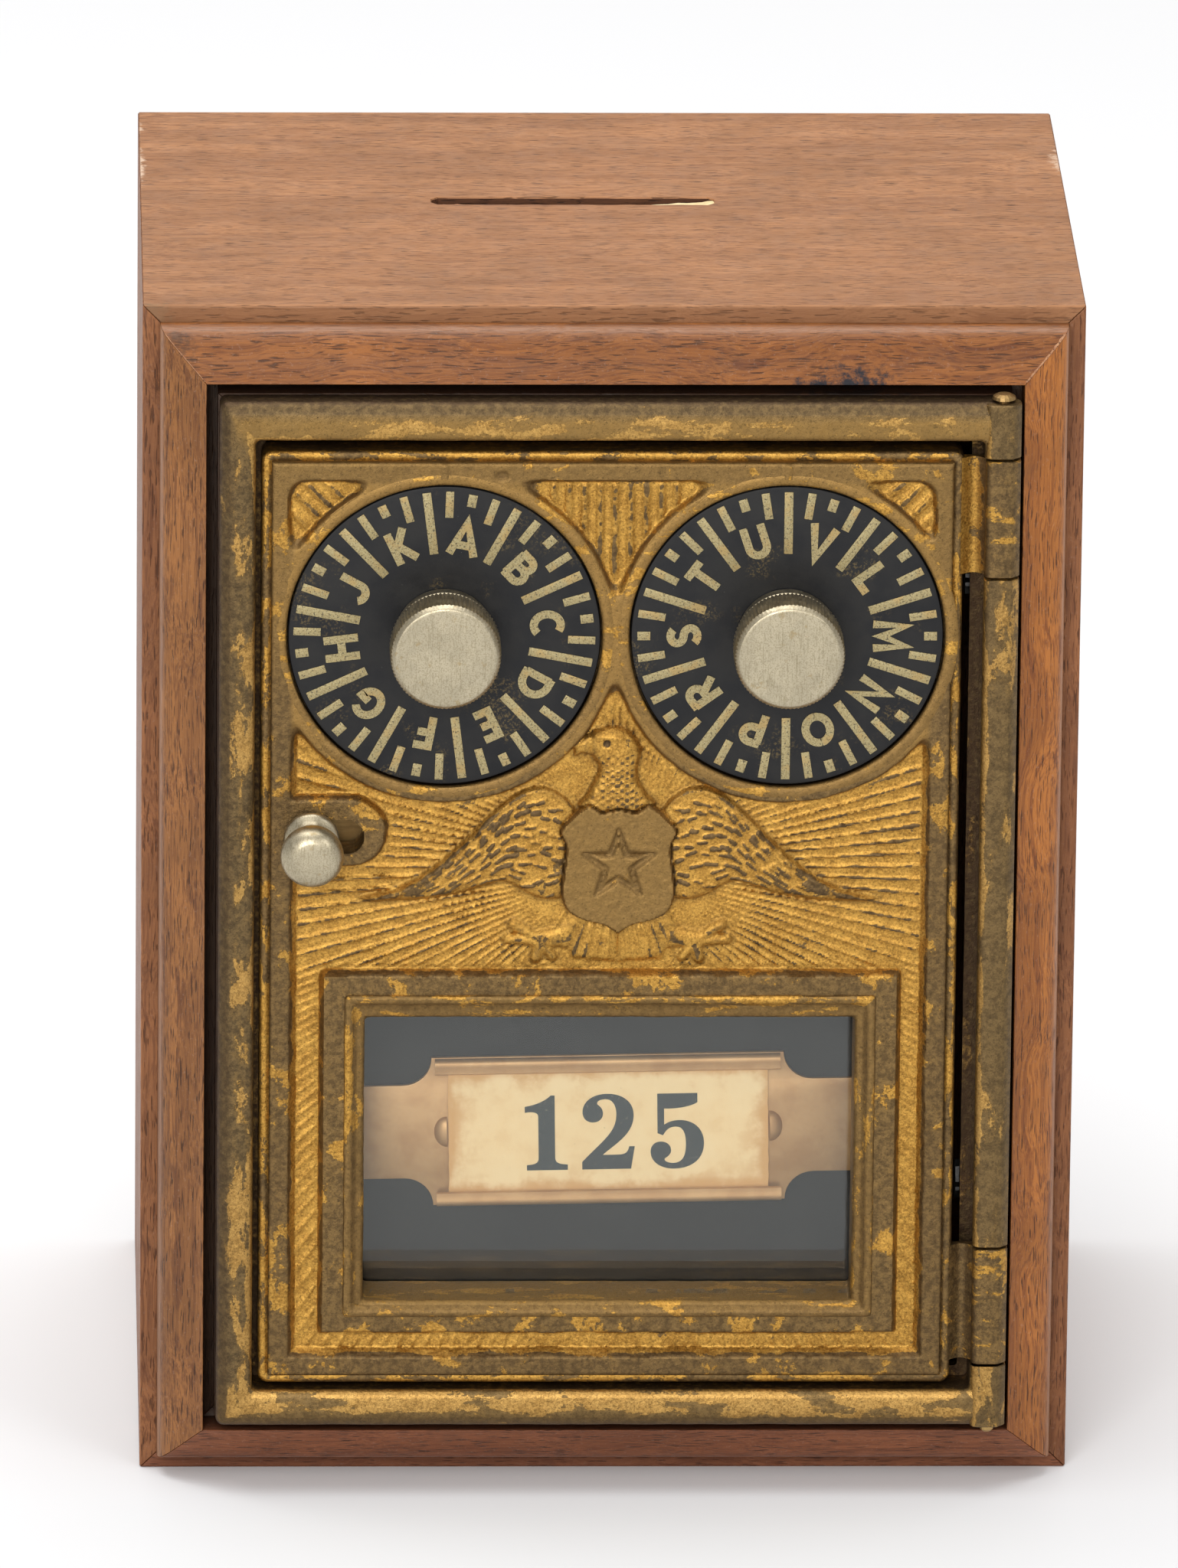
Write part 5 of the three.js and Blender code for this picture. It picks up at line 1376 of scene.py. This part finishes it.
knuckle_shells = []
for low, high in ((16.75, 31.05), (114.05, 128.2)):
    knuckle_shells += [barrel(low, high), leaf(low, high)]
casting("door_knuckles", DOOR_BRASS, knuckle_shells, sharp=40, paint=door_knuckle_paint)

# ------------------------------------------------------------------ dials

LETTERS = {"left": "ABCDEFGHJK", "right": "VLMNOPRSTU"}
FIRST_LETTER = {"left": 10.8, "right": 18.0}
DIAL_FRONT, DIAL_BACK = box_mm("left_dial")[2:4]
MARK_FRONT = DIAL_FRONT - 0.1
MARK_BACK = DIAL_FRONT + 0.2


def radial_bar(x, z, angle, inner, outer, width):
    """A bar along a radius, with angle in degrees clockwise from the top."""
    turn = math.radians(angle)
    out = (math.sin(turn), math.cos(turn))
    side = (math.cos(turn), -math.sin(turn))
    corners = [(inner, -width / 2), (inner, width / 2), (outer, width / 2), (outer, -width / 2)]
    return [(x + r * out[0] + s * side[0], z + r * out[1] + s * side[1]) for r, s in corners]


def bowl(low, high, left, right):
    """The rounded right-hand side of a B, D, P or R."""
    radius = (high - low) / 2
    bend = arc(right - radius, (high + low) / 2, radius, radius, 90, -90)
    return [(left, high), (right - radius, high)] + bend[1:] + [(left, low)]


# Each letter as strokes, 1 high, centred across
STROKES = {
    "A": [[(-0.36, 0), (0, 1), (0.36, 0)], [(-0.22, 0.3), (0.22, 0.3)]],
    "B": [[(-0.22, 0.11), (-0.22, 0.89)], bowl(0.52, 0.89, -0.3, 0.24), bowl(0.11, 0.52, -0.3, 0.29)],
    "C": [arc(0.05, 0.5, 0.33, 0.39, 52, 308, 20)],
    "D": [[(-0.24, 0.11), (-0.24, 0.89)], bowl(0.11, 0.89, -0.32, 0.33)],
    "E": [[(0.26, 0.89), (-0.18, 0.89), (-0.18, 0.11), (0.26, 0.11)], [(-0.18, 0.5), (0.2, 0.5)]],
    "F": [[(0.26, 0.89), (-0.18, 0.89), (-0.18, 0)], [(-0.18, 0.48), (0.2, 0.48)]],
    "G": [arc(0.0, 0.5, 0.33, 0.39, 48, 340, 22) + [(0.32, 0.46), (0.04, 0.46)]],
    "H": [[(-0.27, 0), (-0.27, 1)], [(0.27, 0), (0.27, 1)], [(-0.27, 0.5), (0.27, 0.5)]],
    "J": [[(0.16, 1), (0.16, 0.38)] + arc(-0.08, 0.35, 0.24, 0.24, 0, -150, 12)],
    "K": [[(-0.22, 0), (-0.22, 1)], [(0.27, 1), (-0.18, 0.42)], [(-0.08, 0.55), (0.3, 0)]],
    "L": [[(-0.18, 1), (-0.18, 0.11), (0.28, 0.11)]],
    "M": [[(-0.36, 0), (-0.3, 0.93), (0, 0.22), (0.3, 0.93), (0.36, 0)]],
    "N": [[(-0.27, 0), (-0.27, 0.9), (0.27, 0.1), (0.27, 1)]],
    "O": [arc(0, 0.5, 0.35, 0.4, 90, 450, 30)],
    "P": [[(-0.2, 0), (-0.2, 0.89)], bowl(0.42, 0.89, -0.28, 0.28)],
    "R": [[(-0.2, 0), (-0.2, 0.89)], bowl(0.46, 0.89, -0.28, 0.27), [(0.02, 0.46), (0.28, 0)]],
    "S": [arc(0.0, 0.7, 0.22, 0.19, 35, 265, 12) + arc(0.0, 0.31, 0.24, 0.2, 80, -145, 12)],
    "T": [[(-0.32, 0.89), (0.32, 0.89)], [(0, 0), (0, 0.89)]],
    "U": [[(-0.26, 1), (-0.26, 0.36)] + arc(0, 0.36, 0.26, 0.26, 180, 360, 14) + [(0.26, 1)]],
    "V": [[(-0.34, 1), (0, 0), (0.34, 1)]],
}


def stroke_outline(points, width):
    """A line of even width as a closed outline, mitred at its corners."""
    points = [np.array(p) for k, p in enumerate(points) if k == 0 or math.dist(p, points[k - 1]) > 1e-6]
    left = []
    right = []
    for i, point in enumerate(points):
        before = point - points[i - 1] if i else points[1] - point
        after = points[i + 1] - point if i + 1 < len(points) else before
        before = before / np.linalg.norm(before)
        after = after / np.linalg.norm(after)
        normal = np.array([-before[1] - after[1], before[0] + after[0]])
        normal = normal / np.linalg.norm(normal)
        stretch = min(1 / max(normal @ np.array([-before[1], before[0]]), 0.3), 2.2)
        left.append(tuple(point + normal * width / 2 * stretch))
        right.append(tuple(point - normal * width / 2 * stretch))
    return left + right[::-1]


def letter(character, x, z, angle, radius, size, width):
    """A block letter that stands on the dial with its top outwards. Each stroke is a plate, lifted a hair so that
    no two strokes share a face."""
    cos, sin = math.cos(math.radians(-angle)), math.sin(math.radians(-angle))
    parts = []
    for lift, stroke in enumerate(STROKES[character]):
        outline = stroke_outline([(u * size, (v - 0.5) * size + radius) for u, v in stroke], width)
        outline = [(x + u * cos - v * sin, z + u * sin + v * cos) for u, v in outline]
        depths = (MARK_FRONT - 0.012 * lift, MARK_BACK)
        parts.append(skin([[(u, depth, v) for u, v in outline] for depth in depths], caps="ladders"))
    return parts


# The dials' ticks, as the turn from a letter, the share of the radius from and to, and the width
TICKS = [(18, 0.55, 0.962, 1.02), (0, 0.875, 0.958, 1.05), (-9, 0.79, 0.965, 0.95), (9, 0.79, 0.965, 0.95)]

for side, (dial_x, dial_z, radius) in DIALS.items():
    dial_set = side + "_dial_set"
    disc = [(2.4, DIAL_BACK), (radius, DIAL_BACK), (radius, DIAL_FRONT + 0.3), (radius - 0.12, DIAL_FRONT + 0.06),
            (radius - 0.4, DIAL_FRONT), (8.2, DIAL_FRONT), (7.6, DIAL_FRONT + 0.03), (7.2, DIAL_FRONT + 0.03),
            (2.4, DIAL_FRONT + 0.02)]
    make_piece(side + "_dial_disc", dial_set, "black_enamel", enamel(side + "_enamel", (dial_x, 0, 4)),
               [lathe(disc, dial_x, dial_z, 160, True)], [side + "_dial"])
    marks = []
    for k, character in enumerate(LETTERS[side]):
        angle = FIRST_LETTER[side] + 36 * k
        marks += letter(character, dial_x, dial_z, angle, 0.66 * radius, 4.05, 0.95)
        for turn, inner, outer, width in TICKS:
            bar = radial_bar(dial_x, dial_z, angle + turn, inner * radius, outer * radius, width)
            marks.append(flat_part([bar[::-1]], MARK_FRONT, MARK_BACK, 0.04))
    make_piece(side + "_dial_marks", dial_set, "brass", dial_marks(side + "_marks", (dial_x, 3, 1)), marks)

NICKEL = nickel("nickel")
KNOB_FRONT = -18.0
KNOB_TEETH = 84
KNOB_TURN = 0.02
# A knob as radius, depth behind its front, and how deep its teeth are cut there
KNOB_PROFILE = [
    (0, 0, 0), (2.0, 0, 0), (5.6, 0, 0), (5.86, 0.02, 0), (5.93, 0.06, 0), (6.26, 0.44, 0), (6.33, 0.55, 0.35),
    (6.36, 0.75, 0.8), (6.36, 4.9, 1.0), (6.22, 5.15, 0.5), (5.95, 5.3, 0), (5.95, 5.75, 0), (6.12, 5.95, 0),
    (6.12, 6.6, 0), (5.9, 6.85, 0), (5.7, 7.3, 0), (5.8, 8.45, 0),
]


def knurled_knob(x, z):
    """A round knob: bevelled face, fine knurled band, waist ring and plain neck."""
    segments = KNOB_TEETH * 4
    rings = []
    for radius, depth, cut in KNOB_PROFILE:
        ring = []
        for k in range(segments):
            angle = 2 * math.pi * k / segments + KNOB_TURN
            tooth = 0.13 * (0.5 - 0.5 * math.cos(math.pi / 2 * k)) * cut
            r = radius + 0.12 * cut - tooth * 1.6
            ring.append((x + r * math.cos(angle), KNOB_FRONT + depth, z + r * math.sin(angle)))
        rings.append(ring)
    vertices, faces = skin(rings, caps="open")
    return vertices, faces + [tuple(range(len(vertices) - segments, len(vertices)))]


for side, (dial_x, dial_z, radius) in DIALS.items():
    make_piece(side + "_dial_knob", side + "_dial_set", "nickel", NICKEL, [knurled_knob(dial_x, dial_z)],
               [side + "_knob"], sharp=28)

PULL_PROFILE = [
    (0, -19.0), (1.2, -18.98), (2.0, -18.9), (2.25, -18.84), (2.7, -18.62), (3.15, -18.3), (3.45, -17.9),
    (3.63, -17.4), (3.7, -16.9), (3.66, -16.4), (3.5, -15.9), (3.2, -15.4), (2.85, -14.95), (2.5, -14.5),
    (2.25, -14.0), (2.08, -13.3), (2.0, -12.6), (2.05, -12.1), (2.25, -11.7), (2.6, -11.35), (2.95, -11.1),
    (3.18, -10.9), (3.25, -10.65), (3.25, -10.35), (3.15, -10.2), (2.9, -10.15), (1.6, -10.15), (1.6, -2.9), (0, -2.9),
]
make_piece("latch_pull", "latch", "nickel", NICKEL, [lathe(PULL_PROFILE, LATCH_X, LATCH_Z, 72)], ["latch_knob"],
           sharp=40)

# ------------------------------------------------------------------ window

TILT = math.radians(1.1)
HOLDER_CENTRE = (0.3, 42.1)


def tilted(shells):
    """Turns what was drawn about the holder's centre to the holder's slight tilt."""
    cos, sin = math.cos(TILT), math.sin(TILT)
    made = []
    for vertices, faces in shells:
        x, d, z = vertices.T
        turned = [HOLDER_CENTRE[0] + x * cos - z * sin, d, HOLDER_CENTRE[1] + x * sin + z * cos]
        made.append((np.column_stack(turned), faces))
    return made


def holder_outline():
    """The holder's sheet: a box with a strap to each side that flares into it."""
    quarter = [(31.8, 5.8)] + arc(24.2, 9.2, 3.4, 3.4, 270, 180, 8)
    upper = quarter + [(-x, z) for x, z in reversed(quarter)]
    return upper + [(x, -z) for x, z in reversed(upper)]


def lip(side):
    """The rolled lip that holds the card's upper or lower edge, as a bar along X."""
    section = []
    for k in range(9):
        angle = math.radians(-30 + 150 * k / 8)
        section.append((1.0 - 0.68 * math.sin(angle), 8.45 + 0.72 * math.cos(angle)))
    section += [(0.42, 7.45), (0.62, 7.3), (0.86, 7.4), (0.8, 8.3), (1.5, 8.35), (1.5, 9.0)]
    return prism([(d, side * z) for d, z in section], -20.4, 20.4, "x")


def nib(side):
    """The half-round stop pressed up at each end of the card."""
    rings = []
    for i in range(7):
        a = math.radians(15 * i)
        half = arc(19.1, 0, 1.5 * math.cos(a), 1.9 * math.cos(a), -90, 90, 12)
        rings.append([(side * x, 1.42 - 0.95 * math.sin(a), z) for x, z in half])
    return skin(rings)


holder_shells = [flat_part([holder_outline()], 1.4, 2.0, 0.08), lip(1), lip(-1), nib(1), nib(-1)]
make_piece("number_holder", "door", "brass", copper_sheet("holder_sheet"), tilted(holder_shells), ["card_holder"])

CARD_HALF = (18.9, 8.1)
CARD_DEPTHS = (0.97, 1.25)


def card():
    """The number card, with its two ends slightly uneven."""
    rings = []
    for x in np.linspace(-1, 1, 41) * CARD_HALF[0]:
        ring = []
        for depth, direction in zip(CARD_DEPTHS, (1, -1)):
            for z in np.linspace(-1, 1, 17)[::direction] * CARD_HALF[1]:
                nick = 0.12 * noise.noise(Vector((x * 0.9, z * 0.9, 3)))
                ring.append((x + (nick if abs(x) > 18.5 else 0), depth, z))
        rings.append(ring)
    return skin(rings, caps="ladders")


def card_paint(x, d, z):
    x, z = x - HOLDER_CENTRE[0], z - HOLDER_CENTRE[1]
    near = np.minimum(CARD_HALF[0] - np.abs(x), (CARD_HALF[1] - 0.8 - np.abs(z - x * math.sin(TILT))) * 1.4)
    return {"edge": np.exp(-np.maximum(near, 0) / 1.5)}


make_piece("number_slip", "door", "paper", card_stock("card_stock"), tilted([card()]), ["number_card"],
           paint=card_paint)


def bezier(start, *segments):
    """An outline from cubic curves and straight lines, in units of the digit's height."""
    points = [start]
    for segment in segments:
        if len(segment) == 2:
            points.append(segment)
            continue
        a = np.array(points[-1])
        b, c, d = (np.array(segment[i : i + 2]) for i in (0, 2, 4))
        for k in range(1, 11):
            t = k / 10
            points.append(tuple((1 - t) ** 3 * a + 3 * (1 - t) ** 2 * t * b + 3 * (1 - t) * t**2 * c + t**3 * d))
    return points


ONE = bezier(
    (0.1, 0.0), (0.62, 0.0), (0.62, 0.07), (0.57, 0.075, 0.46, 0.07, 0.46, 0.16), (0.46, 1.0), (0.41, 1.0),
    (0.33, 0.92, 0.2, 0.87, 0.08, 0.855), (0.08, 0.775), (0.15, 0.79, 0.25, 0.79, 0.25, 0.72), (0.25, 0.16),
    (0.25, 0.07, 0.15, 0.075, 0.1, 0.07),
)
TWO = bezier(
    (0.04, 0.0), (0.66, 0.0), (0.71, 0.3), (0.64, 0.3), (0.62, 0.2, 0.57, 0.19, 0.48, 0.19), (0.3, 0.19),
    (0.45, 0.33, 0.7, 0.46, 0.7, 0.72), (0.7, 0.9, 0.56, 1.01, 0.36, 1.01), (0.18, 1.01, 0.05, 0.91, 0.05, 0.77),
    (0.05, 0.68, 0.11, 0.63, 0.18, 0.63), (0.26, 0.63, 0.31, 0.68, 0.31, 0.75), (0.31, 0.82, 0.26, 0.85, 0.24, 0.87),
    (0.22, 0.92, 0.29, 0.94, 0.34, 0.94), (0.43, 0.94, 0.48, 0.86, 0.48, 0.73), (0.48, 0.49, 0.3, 0.38, 0.04, 0.1),
)
FIVE = bezier(
    (0.13, 1.0), (0.13, 0.47), (0.2, 0.44), (0.24, 0.52, 0.29, 0.555, 0.36, 0.555),
    (0.46, 0.555, 0.49, 0.46, 0.49, 0.32), (0.49, 0.15, 0.44, 0.065, 0.33, 0.065),
    (0.27, 0.065, 0.2, 0.09, 0.22, 0.13), (0.25, 0.15, 0.3, 0.18, 0.3, 0.24), (0.3, 0.31, 0.24, 0.355, 0.17, 0.355),
    (0.09, 0.355, 0.04, 0.3, 0.04, 0.22), (0.04, 0.08, 0.17, -0.01, 0.34, -0.01), (0.57, -0.01, 0.72, 0.12, 0.72, 0.33),
    (0.72, 0.52, 0.59, 0.64, 0.41, 0.64), (0.32, 0.64, 0.25, 0.61, 0.215, 0.58), (0.215, 0.8),
    (0.4, 0.79, 0.58, 0.83, 0.64, 0.88), (0.64, 1.0),
)
DIGIT_HEIGHT = 9.3
DIGIT_BASE = -4.9
digit_shells = []
for outline, left in ((ONE, -10.6), (TWO, -3.5), (FIVE, 4.6)):
    points = [(left + x * DIGIT_HEIGHT, z * DIGIT_HEIGHT + DIGIT_BASE) for x, z in outline]
    digit_shells.append(flat_part([points], 0.92, 1.0))
make_piece("printed_number", "door", "paper", ink("printing_ink"), tilted(digit_shells))

# ------------------------------------------------------------------ the bolt's return spring

SPRING_LOW, SPRING_HIGH, spring_front, spring_back = box_mm("bolt_spring")[:4]
SPRING_DEPTH = (spring_front + spring_back) / 2
SPRING_WIRE = 0.25
SPRING_COIL = (spring_back - spring_front) / 2 - SPRING_WIRE
SPRING_TURNS = 8


def coil_spring(steps=28, sides=10):
    """A compression spring along X with a closed coil at each end."""
    closed = 2 * SPRING_WIRE
    low, high = SPRING_LOW + SPRING_WIRE, SPRING_HIGH - SPRING_WIRE
    rings = []
    for k in range(SPRING_TURNS * steps + 1):
        turns = k / steps
        x = np.interp(turns, [0, 1, SPRING_TURNS - 1, SPRING_TURNS], [low, low + closed, high - closed, high])
        ring = []
        for i in range(sides):
            around = 2 * math.pi * i / sides
            radius = SPRING_COIL + SPRING_WIRE * math.cos(around)
            out, up = math.cos(2 * math.pi * turns), math.sin(2 * math.pi * turns)
            ring.append((x + SPRING_WIRE * math.sin(around), SPRING_DEPTH + radius * out, LATCH_Z + radius * up))
        rings.append(ring)
    return skin(rings)


SPRING_STEEL = steel("spring_steel", (0.3, 0.3, 0.3), 0.3)
spring = make_piece("return_spring", "door", "steel", SPRING_STEEL, [coil_spring()], ["bolt_spring"], sharp=60)
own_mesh(spring)

# ------------------------------------------------------------------ carried-over parts

PLAIN_BRASS = sheet_brass("sheet_brass")
SCREW_BRASS = sheet_brass("screw_brass", (0.6, 0.42, 0.17), (0.42, 0.27, 0.1))
STEEL = steel("steel")
# the sheet behind the glass gets painted shade
CARRIED = {"glass_pane": window_glass("window_glass"), "window_backing": black_shade_board("black_shade_board")}


def carried_material(name):
    if name in CARRIED:
        return CARRIED[name]
    if any(word in name for word in ("back_screw", "frame_screw", "spindle", "spring")):
        return STEEL
    return SCREW_BRASS if "screw" in name or "nut" in name else PLAIN_BRASS


for name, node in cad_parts.items():
    if not node.hide_render and name != "case_back":
        node.data.materials.clear()
        node.data.materials.append(carried_material(name))

# ------------------------------------------------------------------ floor, light and camera

FLOOR = 6.0  # metres from the middle to each side
floor_mesh = bpy.data.meshes.new("floor")
floor_mesh.from_pydata([(-FLOOR, -FLOOR, 0), (FLOOR, -FLOOR, 0), (FLOOR, FLOOR, 0), (-FLOOR, FLOOR, 0)], [],
                       [(0, 1, 2, 3)])
floor_mesh.materials.append(floor_paper("floor_paper"))
linked("floor", floor_mesh)

world = bpy.data.worlds.new("studio")
bpy.context.scene.world = world
world.use_nodes = True
background = world.node_tree.nodes["Background"].inputs
background["Color"].default_value = (1.0, 1.0, 1.0, 1)
background["Strength"].default_value = 0.56


def softbox(name, place, target, width, height, power):
    light = bpy.data.lights.new(name, "AREA")
    light.shape = "RECTANGLE"
    light.size = width
    light.size_y = height
    light.energy = power
    lamp = linked(name, light)
    lamp.location = place
    lamp.rotation_euler = (Vector(target) - Vector(place)).to_track_quat("-Z", "Y").to_euler()


softbox("overhead", (-0.15, -0.05, 1.3), (0, 0, 0.05), 1.1, 1.1, 12.0)
softbox("front", (-0.35, -1.7, 0.75), (0, -0.04, 0.06), 0.9, 0.7, 18.0)
softbox("side", (0.9, -1.1, 0.9), (0, -0.04, 0.08), 0.6, 0.6, 4.0)

ELEVATION, YAW, ROLL = math.radians(18.004), math.radians(1.862), math.radians(-0.597)
CAMERA_PLACE = (-71.93, -2178.30, 780.38)
forward = Vector((math.sin(YAW) * math.cos(ELEVATION), math.cos(YAW) * math.cos(ELEVATION), -math.sin(ELEVATION)))
across = Vector((math.cos(YAW), -math.sin(YAW), 0))
upward = across.cross(forward)
camera_x = across * math.cos(ROLL) - upward * math.sin(ROLL)
camera_y = across * math.sin(ROLL) + upward * math.cos(ROLL)
camera_data = bpy.data.cameras.new("camera")
camera_data.lens = 439.45
camera_data.sensor_width = 36
camera_data.sensor_fit = "AUTO"
camera_data.clip_start = 0.05
camera_data.clip_end = 50
camera = linked("camera", camera_data)
turn = Matrix((camera_x, camera_y, -forward)).transposed().to_4x4()
camera.matrix_world = Matrix.Translation(Vector(CAMERA_PLACE) * MM) @ turn
bpy.context.scene.camera = camera
bpy.context.scene.view_settings.view_transform = "Standard"

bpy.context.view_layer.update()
